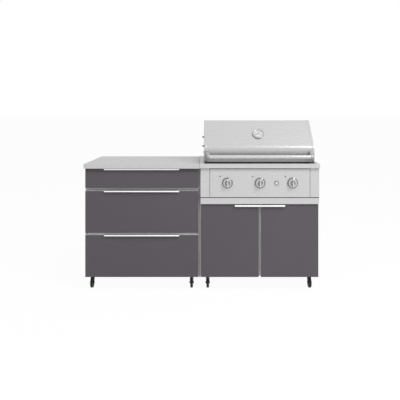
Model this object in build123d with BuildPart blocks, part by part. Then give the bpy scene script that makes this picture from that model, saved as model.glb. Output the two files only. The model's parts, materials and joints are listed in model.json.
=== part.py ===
"""Modular outdoor kitchen: a drawer cabinet and a grill cabinet side by side on casters.

Millimetres, +Z up, fronts facing -Y. The origin lies on the floor under the middle of the whole.
"""
import os
from math import copysign, hypot

from build123d import *

# Tops of the two cabinets
DRAWER_TOP_W = 808.0
GRILL_TOP_W = 838.0
MODULE_GAP = 5.0
TOP_DEPTH = 610.0
TOP_SHEET = 2.0
TOP_EDGE_R = 1.5
COUNTER_LIP = 32.0
TRIM_LIP = 33.0
OVERHANG = 4.0
BACK_OVERHANG = 10.0

# Folded sheet carcasses
FLANGE = 18.0
CARCASS_SHEET = 1.5
RAIL_LAP = 3.0
SPACER_W = 20.0
SPACER_INSET = 60.0
SPACER_DROP = 2.0
POST_W = 40.0

# Drawer fronts and doors, each a folded skin with a liner
FRONT_T = 20.0
FRONT_SHEET = 1.2
FRONT_SETBACK = 20.0
FRONT_GAP = 4.0
FRONT_REVEAL = 3.5
FRONT_DROP = 1.0
FRONTS_H = 763.0
SHALLOW_H = 134.0
UPPER_GAP = 20.0
LOWER_GAP = 13.0
FRONT_TOP_GAP = 4.0
DOOR_GAP = 15.0
DOOR_TOP_GAP = 4.0

# Edge pulls
PULL_SHEET = 2.0
PULL_REACH = 14.0
PULL_LIP = 8.8
PULL_LEG = 16.0
DRAWER_PULL_L = 526.0
DOOR_PULL_L = 175.0
DOOR_PULL_OVERHANG = 6.5
DOOR_PULL_DROP = 3.0
DOOR_PULL_LIP = 11.3
DOOR_PULL_LEG = 9.3

# Drawer boxes and three-part runners
BOX_BACK_ROOM = 60.0
BOX_SHEET = 2.0
BOX_RAISE = 22.0
SHALLOW_BOX_DROP = 20.0
DEEP_BOX_DROP = 54.0
RUNNER_SPACE = 13.0
RUNNER_H = 44.0
RUNNER_SHORT = 20.0
RUNNER_SHEET = 1.5
RUNNER_PLAY = 0.5
RUNNER_RAISE = 46.0
RUNNER_START = 4.0
STANDOFF_L = 30.0
STANDOFF_INSET = 60.0

# Door pivots
PIVOT_EDGE = 8.0
PIVOT_R = 3.0
PIVOT_L = 10.0
PIVOT_BLOCK = 26.0
ARM_T = 3.0
ARM_W = 12.0
ARM_PLAY = 0.5
NOTCH_MARGIN = 1.0
PIN_PLAY = 0.05

# Grill front: control panel, side strips and the rail under them
PANEL_INSET = 65.0
PANEL_H = 201.0
PANEL_SETBACK = 10.0
PANEL_TOP_GAP = 2.0
PANEL_SIDE_GAP = 1.3
RAIL_H = 44.5
RAIL_GAP = 3.5

# Knobs, ignition button and their bezels
KNOB_INSET = 122.0
KNOB_DROP = 101.5
BEZEL_R = 39.0
BEZEL_T = 5.0
BEZEL_CHAMFER = 3.0
KNOB_R = 31.0
KNOB_BODY = 14.0
KNOB_CHAMFER = 2.5
KNOB_GAP = 0.5
GRIP_W = 13.0
GRIP_H = 16.0
GRIP_INSET = 1.0
STEM_R = 4.0
STEM_L = 18.0
STEM_SPACE = 3.0
BUTTON_SHIFT = 3.0
BUTTON_BEZEL_R = 17.0
BUTTON_BEZEL_T = 4.0
BUTTON_R = 11.0
BUTTON_CAP = 5.5
BUTTON_TRAVEL = 3.0
BUTTON_SHANK_R = 8.0
BUTTON_SHANK_L = 16.0
BUTTON_PLAY = 0.3
SHANK_PLAY = 0.1

# Firebox and what lies in it
FIREBOX_LAP = 8.0
FIREBOX_H = 170.0
FIREBOX_BACK = 40.0
SHELF_T = 3.0
SHELF_LAP = 9.0
GRATE_DROP = 15.0
GRATE_T = 12.0
GRATE_GAP = 4.0
GRATE_BAR = 9.0
GRATE_SLOT = 13.0
GRATE_END = 14.0
TAMER_DROP = 75.0
TAMER_W = 120.0
TAMER_H = 26.0
TAMER_SHEET = 1.5
BURNER_R = 14.0
BURNER_WALL = 1.5
VALVE_W = 30.0
VALVE_H = 34.0
VALVE_GAP = 2.0
VALVE_OUTLET = 2.0
OUTLET_R = 5.0
MANIFOLD_R = 8.0
MANIFOLD_END = 60.0

# Hood
HOOD_INSET = 31.0
HOOD_D = 500.0
HOOD_SETBACK = 38.0
HOOD_LIFT = 7.0
HOOD_SHEET = 2.0
HOOD_FRONT_H = 105.0
HOOD_RUN = 165.0
HOOD_RISE = 186.0
HOOD_TOP_RUN = 120.0
HOOD_BACK_H = 138.0
HOOD_BEND_R = 40.0
HOOD_TOP_R = 20.0
HOOD_BACK_R = 30.0
TRIM_LEDGE = 24.0
TRIM_BACK_LEDGE = 60.0
HINGE_BACK = 20.0
HINGE_UP = 33.0
HINGE_HEEL = 4.0
HEEL_RISE = 14.0
HINGE_R = 4.0
EAR_T = 4.0
EAR_R = 12.0
EAR_GAP = 1.5
HINGE_HEAD_R = 7.0
HINGE_HEAD_T = 4.0
HINGE_HEAD_GAP = 1.0
HANDLE_R = 14.0
HANDLE_UP = 40.6
HANDLE_STANDOFF = 50.0
BRACKET_R = 15.0
BRACKET_W = 38.0
BRACKET_RISE = 42.0
BRACKET_TAPER = 18.0
STUD_R = 6.0
STUD_L = 14.0
STUD_BACK = 112.0
STUD_UPS = (106.0, 172.0)
GAUGE_UP = 117.0
GAUGE_R = 42.0
GAUGE_T = 12.0
GAUGE_RIM = 6.0
GAUGE_RECESS = 5.0
GAUGE_STEM_R = 4.0
GAUGE_STEM_L = 40.0
GAUGE_STEM_PLAY = 0.3
NEEDLE_L = 27.0
NEEDLE_TAIL = 9.0
NEEDLE_W = 2.6
NEEDLE_T = 1.0
NEEDLE_HUB_R = 4.0
NEEDLE_PIN_R = 1.5
NEEDLE_PIN_L = 3.0
NEEDLE_GAP = 0.8
NEEDLE_COLD = 110.0

# Casters
CASTER_H = 98.0
CASTER_INSET = 51.0
CASTER_INSET_END = 38.0
CASTER_DEPTH_INSET = 60.0
PLATE_W = 60.0
PLATE_T = 3.0
HOUSING_R = 17.0
HOUSING_H = 10.0
KINGPIN_R = 5.0
KINGPIN_HEAD_R = 8.0
KINGPIN_HEAD_T = 4.0
SWIVEL_GAP = 0.4
CROWN_T = 3.0
FORK_T = 3.0
FORK_EYE_R = 9.0
TRAIL = 16.0
WHEEL_R = 37.0
WHEEL_W = 18.0
WHEEL_GAP = 1.0
WHEEL_ROUND = 4.0
AXLE_R = 4.0
HUB_R = 11.0
RIM_R = 27.0
HUB_RECESS = 3.0

# Places across the width
width = DRAWER_TOP_W + MODULE_GAP + GRILL_TOP_W
drawer_left = -width / 2
drawer_right = drawer_left + DRAWER_TOP_W
grill_left = drawer_right + MODULE_GAP
grill_right = width / 2
drawer_x = (drawer_left + drawer_right) / 2
grill_x = (grill_left + grill_right) / 2
grill_body_w = GRILL_TOP_W - 2 * OVERHANG
panel_w = grill_body_w - 2 * PANEL_INSET
hood_w = GRILL_TOP_W - 2 * HOOD_INSET
handle_l = hood_w - 2 * BRACKET_W
front_w = DRAWER_TOP_W - 2 * OVERHANG - 2 * FRONT_REVEAL
door_w = (grill_body_w - 2 * FRONT_REVEAL - DOOR_GAP) / 2

# Places along the depth
knob_reach = BEZEL_T + KNOB_GAP + KNOB_BODY + GRIP_H
knob_proud = knob_reach - PANEL_SETBACK
top_front = (knob_proud - TOP_DEPTH) / 2
top_back = top_front + TOP_DEPTH
top_y = (top_front + top_back) / 2
front_y = top_front + FRONT_SETBACK
front_back = front_y + FRONT_T
body_front = front_back + FRONT_GAP
body_back = top_back - BACK_OVERHANG
body_depth = body_back - body_front
body_y = (body_front + body_back) / 2
box_depth = body_back - BOX_BACK_ROOM - front_back
runner_l = box_depth - RUNNER_SHORT
panel_y = top_front + PANEL_SETBACK
panel_fold = body_front - panel_y

# Places up the height: the drawers of one cabinet and the doors and panel of the other fill the same height
front_bottom = CASTER_H - FRONT_DROP
lips_bottom = front_bottom + FRONTS_H
deep_h = (FRONTS_H - LOWER_GAP - UPPER_GAP - SHALLOW_H - FRONT_TOP_GAP) / 2
bottom_top = front_bottom + deep_h
middle_bottom = bottom_top + LOWER_GAP
middle_top = middle_bottom + deep_h
shallow_bottom = middle_top + UPPER_GAP
shallow_top = shallow_bottom + SHALLOW_H
shallow_box_h = SHALLOW_H - BOX_RAISE - SHALLOW_BOX_DROP
deep_box_h = deep_h - BOX_RAISE - DEEP_BOX_DROP
counter_z = lips_bottom + COUNTER_LIP
panel_top = lips_bottom
panel_bottom = panel_top - PANEL_H
rail_bottom = panel_bottom - RAIL_GAP - RAIL_H
door_top = rail_bottom - DOOR_TOP_GAP
door_h = door_top - front_bottom
trim_z = panel_top + PANEL_TOP_GAP + TRIM_LIP

# Places on the control panel
knob_z = panel_top - KNOB_DROP
knob_pitch = panel_w / 2 - KNOB_INSET
knob_xs = [grill_x - knob_pitch, grill_x, grill_x + knob_pitch]
button_x = grill_x + knob_pitch / 2 + BUTTON_SHIFT


def front_plane(y):
    """The upright plane at depth y whose sketch is drawn in X and Z."""
    return Plane.XZ.offset(-y)


def plate(plane, centre, size, thickness):
    """A flat rectangular sheet that rises from the plane along its normal."""
    with BuildPart() as sheet:
        with BuildSketch(plane):
            with Locations(centre):
                Rectangle(*size)
        extrude(amount=thickness)
    return sheet.part


def pan(plane, centre, size, depth, sheet):
    """A folded tray: its floor lies on the plane, its walls rise by depth on either side of it."""
    step = copysign(sheet, depth)
    with BuildPart() as tray:
        with BuildSketch(plane):
            with Locations(centre):
                Rectangle(*size)
        extrude(amount=depth)
        with BuildSketch(plane.offset(step)):
            with Locations(centre):
                Rectangle(size[0] - 2 * sheet, size[1] - 2 * sheet)
        extrude(amount=depth - step, mode=Mode.SUBTRACT)
    return tray.part


def save(name, *pieces):
    """Write one piece, or a group of like pieces, under its own name."""
    node = pieces[0] if len(pieces) == 1 else Compound(children=list(pieces))
    node.label = name
    export_step(node, f"parts/{name}.step")


def carcass_side(outer_x, depth, top):
    """A folded side whose flanges turn inwards by depth from its outer face."""
    height = top - CASTER_H
    face = (body_y, CASTER_H + height / 2)
    return pan(Plane.YZ.offset(outer_x), face, (body_depth, height), depth, CARCASS_SHEET)


def side_with_spacers(outer_x, depth, top, gap):
    """A folded side with two upright bars that close the gap to the next cabinet below the worktops' lips."""
    ys = (body_front + SPACER_INSET, body_back - SPACER_INSET)
    bar_h = lips_bottom - SPACER_DROP - CASTER_H
    with BuildPart() as side:
        add(carcass_side(outer_x, depth, top))
        with BuildSketch(Plane.YZ.offset(outer_x)):
            with Locations(*[(y, CASTER_H + bar_h / 2) for y in ys]):
                Rectangle(SPACER_W, bar_h)
        extrude(amount=gap)
    return side.part


def carcass_back_and_base(name, left, right, top):
    """The back and the floor of one cabinet, set between its sides."""
    middle = (left + right) / 2
    inner_w = right - left - 2 * FLANGE
    back_size = (inner_w, top - CASTER_H - CARCASS_SHEET)
    back_centre = (middle, CASTER_H + CARCASS_SHEET + back_size[1] / 2)
    save(f"{name}_back", plate(front_plane(body_back), back_centre, back_size, CARCASS_SHEET))
    floor_size = (inner_w, body_depth - CARCASS_SHEET)
    floor_centre = (middle, body_front + floor_size[1] / 2)
    save(f"{name}_base", pan(Plane.XY.offset(CASTER_H), floor_centre, floor_size, FLANGE, CARCASS_SHEET))


def sheet_top(left, right, z, lip):
    """A worktop folded down on all four sides."""
    with BuildPart() as top:
        add(pan(Plane.XY.offset(z), ((left + right) / 2, top_y), (right - left, TOP_DEPTH), -lip, TOP_SHEET))
        fillet(top.faces().sort_by(Axis.Z)[-1].edges(), TOP_EDGE_R)
    return top.part


def edge_pull(x, z_edge, length):
    """A bent strip over a front's top edge: a leg behind it and a finger lip before its face."""
    lip = front_y - PULL_REACH
    crest = z_edge + PULL_SHEET
    with BuildPart() as pull:
        with BuildSketch(Plane.YZ.offset(x - length / 2)):
            with BuildLine():
                Polyline(
                    (lip, crest),
                    (front_back + PULL_SHEET, crest),
                    (front_back + PULL_SHEET, z_edge - PULL_LEG),
                    (front_back, z_edge - PULL_LEG),
                    (front_back, z_edge),
                    (lip + PULL_SHEET, z_edge),
                    (lip + PULL_SHEET, crest - PULL_LIP),
                    (lip, crest - PULL_LIP),
                    close=True,
                )
            make_face()
        extrude(amount=length)
    return pull.part


def face_pull(x, side, crest, length):
    """A channel on a door's face, open below: a leg on the face and a finger lip with a round outer end."""
    lip = front_y - PULL_REACH
    under = crest - PULL_SHEET
    end_r = DOOR_PULL_LIP / 2
    with BuildPart() as pull:
        with BuildSketch(Plane.YZ.offset(x - length / 2)):
            with BuildLine():
                Polyline(
                    (lip, crest),
                    (front_y, crest),
                    (front_y, crest - DOOR_PULL_LEG),
                    (front_y - PULL_SHEET, crest - DOOR_PULL_LEG),
                    (front_y - PULL_SHEET, under),
                    (lip + PULL_SHEET, under),
                    (lip + PULL_SHEET, crest - DOOR_PULL_LIP),
                    (lip, crest - DOOR_PULL_LIP),
                    close=True,
                )
            make_face()
        extrude(amount=length)
        with BuildSketch(front_plane(lip)):
            with Locations((x - side * end_r / 2, crest - end_r)):
                Rectangle(length - end_r, DOOR_PULL_LIP)
            with Locations((x + side * (length / 2 - end_r), crest - end_r)):
                Circle(end_r)
        extrude(amount=-PULL_REACH, mode=Mode.INTERSECT)
    return pull.part


def runner_member(web_x, open_x, z, half_height, y_start, length):
    """A C section with its web at web_x and its flanges reaching to open_x."""
    inner_x = web_x + copysign(RUNNER_SHEET, open_x - web_x)
    with BuildPart() as member:
        with BuildSketch(front_plane(y_start)):
            with Locations(((web_x + open_x) / 2, z)):
                Rectangle(abs(open_x - web_x), 2 * half_height)
            with Locations(((inner_x + open_x) / 2, z)):
                Rectangle(
                    abs(open_x - inner_x),
                    2 * (half_height - RUNNER_SHEET),
                    mode=Mode.SUBTRACT,
                )
        extrude(amount=-length)
    return member.part


def runner_set(side, wall_x, z):
    """The outer, middle and inner members of one runner; side is +1 where it opens towards +X."""
    step = RUNNER_SHEET + RUNNER_PLAY
    half = RUNNER_H / 2
    start = body_front + RUNNER_START
    box_x = wall_x + side * RUNNER_SPACE
    reach = RUNNER_SPACE - step
    standoff = FLANGE - CARCASS_SHEET
    feet = [start + STANDOFF_INSET, start + runner_l - STANDOFF_INSET]
    with BuildPart() as outer:
        add(runner_member(wall_x, wall_x + side * (reach - step), z, half, start, runner_l))
        with Locations(*[(wall_x - side * standoff / 2, y, z) for y in feet]):
            Box(standoff, STANDOFF_L, RUNNER_H)
    middle = runner_member(wall_x + side * step, wall_x + side * reach, z, half - step, start, runner_l)
    inner = runner_member(box_x, wall_x + side * 2 * step, z, half - 2 * step, start, runner_l)
    return outer.part, middle, inner


def build_drawer(name, bottom, height, box_height):
    """One drawer with its front, pull, box and runners; returns the two fixed runner members."""
    z = bottom + height / 2
    top = bottom + height
    size = (front_w, height)
    skin = pan(front_plane(front_y), (drawer_x, z), size, FRONT_SHEET - FRONT_T, FRONT_SHEET)
    liner = plate(front_plane(front_back), (drawer_x, z), size, FRONT_SHEET)
    save(f"drawer_front_{name}", skin, liner)
    save(f"drawer_pull_{name}", edge_pull(drawer_x, top, DRAWER_PULL_L))

    box_bottom = bottom + BOX_RAISE
    left_wall = drawer_left + OVERHANG + FLANGE
    right_wall = drawer_right - OVERHANG - FLANGE
    box_w = right_wall - left_wall - 2 * RUNNER_SPACE
    box_centre = (drawer_x, front_back + box_depth / 2)
    box = pan(Plane.XY.offset(box_bottom), box_centre, (box_w, box_depth), box_height, BOX_SHEET)
    left = runner_set(1, left_wall, box_bottom + RUNNER_RAISE)
    right = runner_set(-1, right_wall, box_bottom + RUNNER_RAISE)
    save(f"drawer_box_{name}", box, left[2], right[2])
    save(f"runner_middle_{name}", left[1], right[1])
    return left[0], right[0]


def build_door(name, side):
    """A door with its pull and two pivot arms; side is -1 for the left door, +1 for the right."""
    outer_x = grill_x + side * (grill_body_w / 2 - FRONT_REVEAL)
    x = outer_x - side * door_w / 2
    z = front_bottom + door_h / 2
    axis_x = outer_x - side * PIVOT_EDGE
    axis_y = front_y + FRONT_T / 2
    size = (door_w, door_h)
    notch_r = ARM_W / 2 + NOTCH_MARGIN
    notch_d = ARM_T + 2 * ARM_PLAY
    notch_x = PIVOT_EDGE + notch_r
    notch_y = front_back - axis_y + notch_r
    bore_depth = PIVOT_L + notch_d
    ends = [(front_bottom, 1), (door_top, -1)]

    with BuildPart() as notches:
        for end, inward in ends:
            place = (outer_x - side * notch_x / 2, front_back - notch_y / 2, end + inward * notch_d / 2)
            with Locations(place):
                Box(notch_x, notch_y, notch_d)
            with Locations((axis_x, axis_y, end + inward * bore_depth / 2)):
                Cylinder(PIVOT_R + PIN_PLAY, bore_depth)
    block_t = FRONT_T - 2 * FRONT_SHEET
    with BuildPart() as skin:
        add(pan(front_plane(front_y), (x, z), size, FRONT_SHEET - FRONT_T, FRONT_SHEET))
        for end, inward in ends:
            block_x = outer_x - side * PIVOT_BLOCK / 2
            with Locations((block_x, front_y + FRONT_SHEET + block_t / 2, end + inward * PIVOT_BLOCK / 2)):
                Box(PIVOT_BLOCK, block_t, PIVOT_BLOCK)
        add(notches.part, mode=Mode.SUBTRACT)
    with BuildPart() as liner:
        add(plate(front_plane(front_back), (x, z), size, FRONT_SHEET))
        add(notches.part, mode=Mode.SUBTRACT)
    save(f"door_{name}", skin.part, liner.part)
    pull_x = grill_x + side * (DOOR_GAP / 2 - DOOR_PULL_OVERHANG + DOOR_PULL_L / 2)
    save(f"door_pull_{name}", face_pull(pull_x, side, door_top - DOOR_PULL_DROP, DOOR_PULL_L))

    arms = []
    for end, inward in ends:
        arm_z = end + inward * (ARM_PLAY + ARM_T / 2)
        with BuildPart() as arm:
            with BuildSketch(Plane.XY.offset(arm_z - ARM_T / 2)):
                with Locations((axis_x, axis_y)):
                    Circle(ARM_W / 2)
                with Locations((axis_x, (axis_y + body_front) / 2)):
                    Rectangle(ARM_W, body_front - axis_y)
            extrude(amount=ARM_T)
            with Locations((axis_x, axis_y, arm_z + inward * PIVOT_L / 2)):
                Cylinder(PIVOT_R, PIVOT_L)
        arms.append(arm.part)
    return arms


def build_caster(name, x, y, trail):
    """A swivel caster; returns its fixed mounting plate, which keeps the fork on its kingpin."""
    housing_z = CASTER_H - PLATE_T - HOUSING_H
    crown_top = housing_z - SWIVEL_GAP
    head_top = crown_top - CROWN_T - SWIVEL_GAP
    axle = (y + trail, WHEEL_R)
    inner_half = WHEEL_W / 2 + WHEEL_GAP
    with BuildPart() as mounting:
        with BuildSketch(Plane.XY.offset(CASTER_H - PLATE_T)):
            with Locations((x, y)):
                RectangleRounded(PLATE_W, PLATE_W, PLATE_T)
        extrude(amount=PLATE_T)
        with BuildSketch(Plane.XY.offset(housing_z)):
            with Locations((x, y)):
                Circle(HOUSING_R)
        extrude(amount=HOUSING_H)
        with BuildSketch(Plane.XY.offset(head_top)):
            with Locations((x, y)):
                Circle(KINGPIN_R)
        extrude(amount=housing_z - head_top)
        with BuildSketch(Plane.XY.offset(head_top)):
            with Locations((x, y)):
                Circle(KINGPIN_HEAD_R)
        extrude(amount=-KINGPIN_HEAD_T)

    with BuildPart() as fork:
        with BuildSketch(Plane.XY.offset(crown_top)):
            with Locations((x, y)):
                Circle(HOUSING_R)
                Circle(KINGPIN_R + PIN_PLAY, mode=Mode.SUBTRACT)
        extrude(amount=-CROWN_T)
        for leg_x in (x - inner_half - FORK_T, x + inner_half):
            with BuildSketch(Plane.YZ.offset(leg_x)):
                with Locations(axle):
                    Circle(FORK_EYE_R)
                with Locations((y, crown_top - CROWN_T / 2)):
                    Rectangle(2 * KINGPIN_HEAD_R, CROWN_T)
                make_hull()
            extrude(amount=FORK_T)
        with BuildSketch(Plane.YZ.offset(x - inner_half)):
            with Locations(axle):
                Circle(AXLE_R)
        extrude(amount=2 * inner_half)
    save(f"caster_fork_{name}", fork.part)

    with BuildPart() as wheel:
        with BuildSketch(Plane.YZ.offset(x - WHEEL_W / 2)):
            with Locations(axle):
                Circle(WHEEL_R)
                Circle(AXLE_R + PIN_PLAY, mode=Mode.SUBTRACT)
        extrude(amount=WHEEL_W)
        tread = wheel.edges().filter_by(GeomType.CIRCLE).group_by(SortBy.RADIUS)[-1]
        fillet(tread, WHEEL_ROUND)
        for face_x, inward in ((x - WHEEL_W / 2, 1), (x + WHEEL_W / 2, -1)):
            with BuildSketch(Plane.YZ.offset(face_x)):
                with Locations(axle):
                    Circle(RIM_R)
                    Circle(HUB_R, mode=Mode.SUBTRACT)
            extrude(amount=inward * HUB_RECESS, mode=Mode.SUBTRACT)
    save(f"caster_wheel_{name}", wheel.part)
    return mounting.part


os.makedirs("parts", exist_ok=True)

# Drawer cabinet: carcass, rails behind the gaps between the fronts, and worktop
drawer_body_left = drawer_left + OVERHANG
drawer_body_right = drawer_right - OVERHANG
drawer_body_top = counter_z - TOP_SHEET
save(
    "drawer_cabinet_sides",
    carcass_side(drawer_body_left, FLANGE, drawer_body_top),
    side_with_spacers(drawer_body_right, -FLANGE, drawer_body_top, grill_left + OVERHANG - drawer_body_right),
)
carcass_back_and_base("drawer_cabinet", drawer_body_left, drawer_body_right, drawer_body_top)
rail_spans = [
    (bottom_top - RAIL_LAP, middle_bottom + RAIL_LAP),
    (middle_top - RAIL_LAP, shallow_bottom + RAIL_LAP),
    (shallow_top - RAIL_LAP, drawer_body_top),
]
rail_w = drawer_body_right - drawer_body_left - 2 * FLANGE
rails = [
    plate(front_plane(body_front), (drawer_x, (low + high) / 2), (rail_w, high - low), -FLANGE)
    for low, high in rail_spans
]
save("drawer_cabinet_rails", *rails)
save("drawer_countertop", sheet_top(drawer_left, drawer_right, counter_z, COUNTER_LIP))

# Drawers on their runners
outer_members = []
outer_members += build_drawer("top", shallow_bottom, SHALLOW_H, shallow_box_h)
outer_members += build_drawer("middle", middle_bottom, deep_h, deep_box_h)
outer_members += build_drawer("bottom", front_bottom, deep_h, deep_box_h)
save("runner_outer_members", *outer_members)

# Grill cabinet: carcass, doors and the stainless frame around the control panel
grill_body_left = grill_left + OVERHANG
grill_body_right = grill_right - OVERHANG
grill_body_top = trim_z - TOP_SHEET
save(
    "grill_cabinet_sides",
    carcass_side(grill_body_left, FLANGE, grill_body_top),
    carcass_side(grill_body_right, -FLANGE, grill_body_top),
)
carcass_back_and_base("grill_cabinet", grill_body_left, grill_body_right, grill_body_top)
save("door_hinge_arms", *build_door("left", -1), *build_door("right", 1))

strip_w = PANEL_INSET - PANEL_SIDE_GAP
panel_mid = (panel_bottom + panel_top) / 2
frame_pieces = [
    pan(front_plane(panel_y), (strip_x, panel_mid), (strip_w, PANEL_H), -panel_fold, TOP_SHEET)
    for strip_x in (grill_body_left + strip_w / 2, grill_body_right - strip_w / 2)
]
rail_centre = (grill_x, rail_bottom + RAIL_H / 2)
frame_pieces.append(
    pan(front_plane(panel_y), rail_centre, (grill_body_w, RAIL_H), -panel_fold, TOP_SHEET)
)
post_low = CASTER_H + FLANGE
post_high = rail_bottom + RAIL_H
post_centre = (grill_x, (post_low + post_high) / 2)
frame_pieces.append(
    pan(front_plane(body_front), post_centre, (POST_W, post_high - post_low), -FLANGE, CARCASS_SHEET)
)
save("grill_face_frame", *frame_pieces)

# Control panel with its bezels
knob_spots = [(x, knob_z) for x in knob_xs]
button_spot = (button_x, knob_z)
stem_hole_r = STEM_R + STEM_SPACE
with BuildPart() as control_panel:
    add(pan(front_plane(panel_y), (grill_x, panel_mid), (panel_w, PANEL_H), -panel_fold, TOP_SHEET))
    with BuildSketch(front_plane(panel_y)):
        with Locations(*knob_spots):
            Circle(stem_hole_r)
        with Locations(button_spot):
            Circle(BUTTON_SHANK_R + SHANK_PLAY)
    extrude(amount=-TOP_SHEET, mode=Mode.SUBTRACT)
save("control_panel", control_panel.part)


def bezel(spot, radius, hole_r, thickness, chamfer_l):
    """A ring on the panel's face with a bevelled front edge."""
    with BuildPart() as ring:
        with BuildSketch(front_plane(panel_y)):
            with Locations(spot):
                Circle(radius)
                Circle(hole_r, mode=Mode.SUBTRACT)
        extrude(amount=thickness)
        rim = ring.faces().sort_by(Axis.Y)[0].edges().sort_by(SortBy.RADIUS)[-1]
        chamfer(rim, chamfer_l)
    return ring.part


bezels = [bezel(spot, BEZEL_R, stem_hole_r, BEZEL_T, BEZEL_CHAMFER) for spot in knob_spots]
bezels.append(
    bezel(button_spot, BUTTON_BEZEL_R, BUTTON_R + BUTTON_PLAY, BUTTON_BEZEL_T, BEZEL_CHAMFER / 2)
)
save("knob_bezels", *bezels)

# Knobs, each on its own stem, and the ignition button
knob_back = panel_y - BEZEL_T - KNOB_GAP
for knob_name, knob_x in zip(("left", "centre", "right"), knob_xs):
    with BuildPart() as knob:
        with BuildSketch(front_plane(knob_back)):
            with Locations((knob_x, knob_z)):
                Circle(KNOB_R)
        extrude(amount=KNOB_BODY)
        rim = knob.faces().sort_by(Axis.Y)[0].edges()
        chamfer(rim, KNOB_CHAMFER)
        with BuildSketch(front_plane(knob_back - KNOB_BODY)):
            with Locations((knob_x, knob_z)):
                SlotOverall(2 * (KNOB_R - KNOB_CHAMFER - GRIP_INSET), GRIP_W, rotation=90)
        extrude(amount=GRIP_H)
        with BuildSketch(front_plane(knob_back)):
            with Locations((knob_x, knob_z)):
                Circle(STEM_R)
        extrude(amount=-STEM_L)
    save(f"knob_{knob_name}", knob.part)

button_back = panel_y - BUTTON_TRAVEL - KNOB_GAP
with BuildPart() as ignition_button:
    with BuildSketch(front_plane(button_back)):
        with Locations(button_spot):
            Circle(BUTTON_R)
    extrude(amount=BUTTON_CAP)
    fillet(ignition_button.faces().sort_by(Axis.Y)[0].edges(), KNOB_CHAMFER / 2)
    with BuildSketch(front_plane(button_back)):
        with Locations(button_spot):
            Circle(BUTTON_SHANK_R)
    extrude(amount=-BUTTON_SHANK_L)
save("ignition_button", ignition_button.part)

# Hood outline, seen from the side, and its hinge
hood_left = grill_x - hood_w / 2
hood_right = grill_x + hood_w / 2
hood_front = top_front + HOOD_SETBACK
hood_back = hood_front + HOOD_D
hood_z = trim_z + HOOD_LIFT
hinge_y = hood_back - HINGE_BACK
hinge_z = hood_z + HINGE_UP
slope_foot = (hood_front, hood_z + HOOD_FRONT_H)
slope_head = (hood_front + HOOD_RUN, slope_foot[1] + HOOD_RISE)
top_end = (slope_head[0] + HOOD_TOP_RUN, slope_head[1])
back_head = (hood_back, hood_z + HOOD_BACK_H)
heel_top = (hood_back, hinge_z + EAR_R + HEEL_RISE)
heel_foot = (hinge_y + HINGE_HEEL, hood_z)
slope_l = hypot(HOOD_RUN, HOOD_RISE)
gauge_plane = Plane(
    origin=(
        grill_x,
        slope_foot[0] + HOOD_RUN * GAUGE_UP / slope_l,
        slope_foot[1] + HOOD_RISE * GAUGE_UP / slope_l,
    ),
    x_dir=(1, 0, 0),
    z_dir=(0, -HOOD_RISE / slope_l, HOOD_RUN / slope_l),
)

with BuildPart() as hood_shell:
    with BuildSketch(Plane.YZ.offset(hood_left)):
        with BuildLine():
            Polyline(
                (hood_front, hood_z), slope_foot, slope_head, top_end, back_head, heel_top, heel_foot,
                close=True,
            )
        make_face()
    extrude(amount=hood_w)
    folds = hood_shell.edges().filter_by(Axis.X)
    for corner, radius in (
        (slope_foot, HOOD_BEND_R), (slope_head, HOOD_TOP_R), (top_end, HOOD_BACK_R), (back_head, HOOD_BACK_R),
    ):
        fillet(folds.sort_by_distance((grill_x, *corner))[0], radius)
    under = hood_shell.faces().filter_by(lambda face: face.normal_at().Z < -HOOD_SHEET / HOOD_D)
    offset(amount=-HOOD_SHEET, openings=under)
    with BuildSketch(Plane.YZ.offset(hood_left)):
        with Locations((hinge_y, hinge_z)):
            Circle(HINGE_R + PIN_PLAY)
    extrude(amount=hood_w, mode=Mode.SUBTRACT)
    with BuildSketch(gauge_plane):
        Circle(GAUGE_STEM_R + GAUGE_STEM_PLAY)
    extrude(amount=-2 * HOOD_SHEET, mode=Mode.SUBTRACT)
save("hood_shell", hood_shell.part)

# Hood handle: a tube between two end brackets, which rise to the hood and narrow towards the tube
handle_axis = (hood_front - HANDLE_STANDOFF, hood_z + HANDLE_UP)
handle_foot = handle_axis[1] - BRACKET_R
handle_tip = handle_axis[0] - BRACKET_R
with BuildPart() as handle_tube:
    with BuildSketch(Plane.YZ.offset(grill_x - handle_l / 2)):
        with Locations(handle_axis):
            Circle(HANDLE_R)
            Circle(HANDLE_R - HOOD_SHEET, mode=Mode.SUBTRACT)
    extrude(amount=handle_l)


def handle_bracket(side):
    """The end bracket on one side: an eye on the tube's end and a web that widens to the hood's front."""
    outer = grill_x + side * hood_w / 2
    inner = outer - side * BRACKET_W
    past = (hood_front - handle_tip + BRACKET_R) / (hood_front - handle_tip)
    with BuildPart() as bracket:
        with BuildSketch(Plane.YZ.offset(min(outer, inner))):
            with Locations(handle_axis):
                Circle(BRACKET_R)
            with BuildLine():
                Line((hood_front, handle_foot), (hood_front, handle_axis[1] + BRACKET_RISE))
            make_hull()
        extrude(amount=BRACKET_W)
        with BuildSketch(Plane.XY.offset(handle_foot - BRACKET_R)):
            with BuildLine():
                Polyline(
                    (outer, hood_front), (inner, hood_front), (inner, handle_tip - BRACKET_R),
                    (outer - side * BRACKET_TAPER * past, handle_tip - BRACKET_R),
                    close=True,
                )
            make_face()
        extrude(amount=3 * BRACKET_R + BRACKET_RISE, mode=Mode.INTERSECT)
    return bracket.part


save("hood_handle", handle_tube.part, handle_bracket(-1), handle_bracket(1))

# Two studs on the hood's left cheek
studs = []
for stud_up in STUD_UPS:
    with BuildPart() as stud:
        with BuildSketch(Plane.YZ.offset(hood_left)):
            with Locations((hood_front + STUD_BACK, hood_z + stud_up)):
                Circle(STUD_R)
        extrude(amount=-STUD_L)
        fillet(stud.faces().sort_by(Axis.X)[0].edges(), STUD_R / 3)
    studs.append(stud.part)
save("hood_side_studs", *studs)

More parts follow.
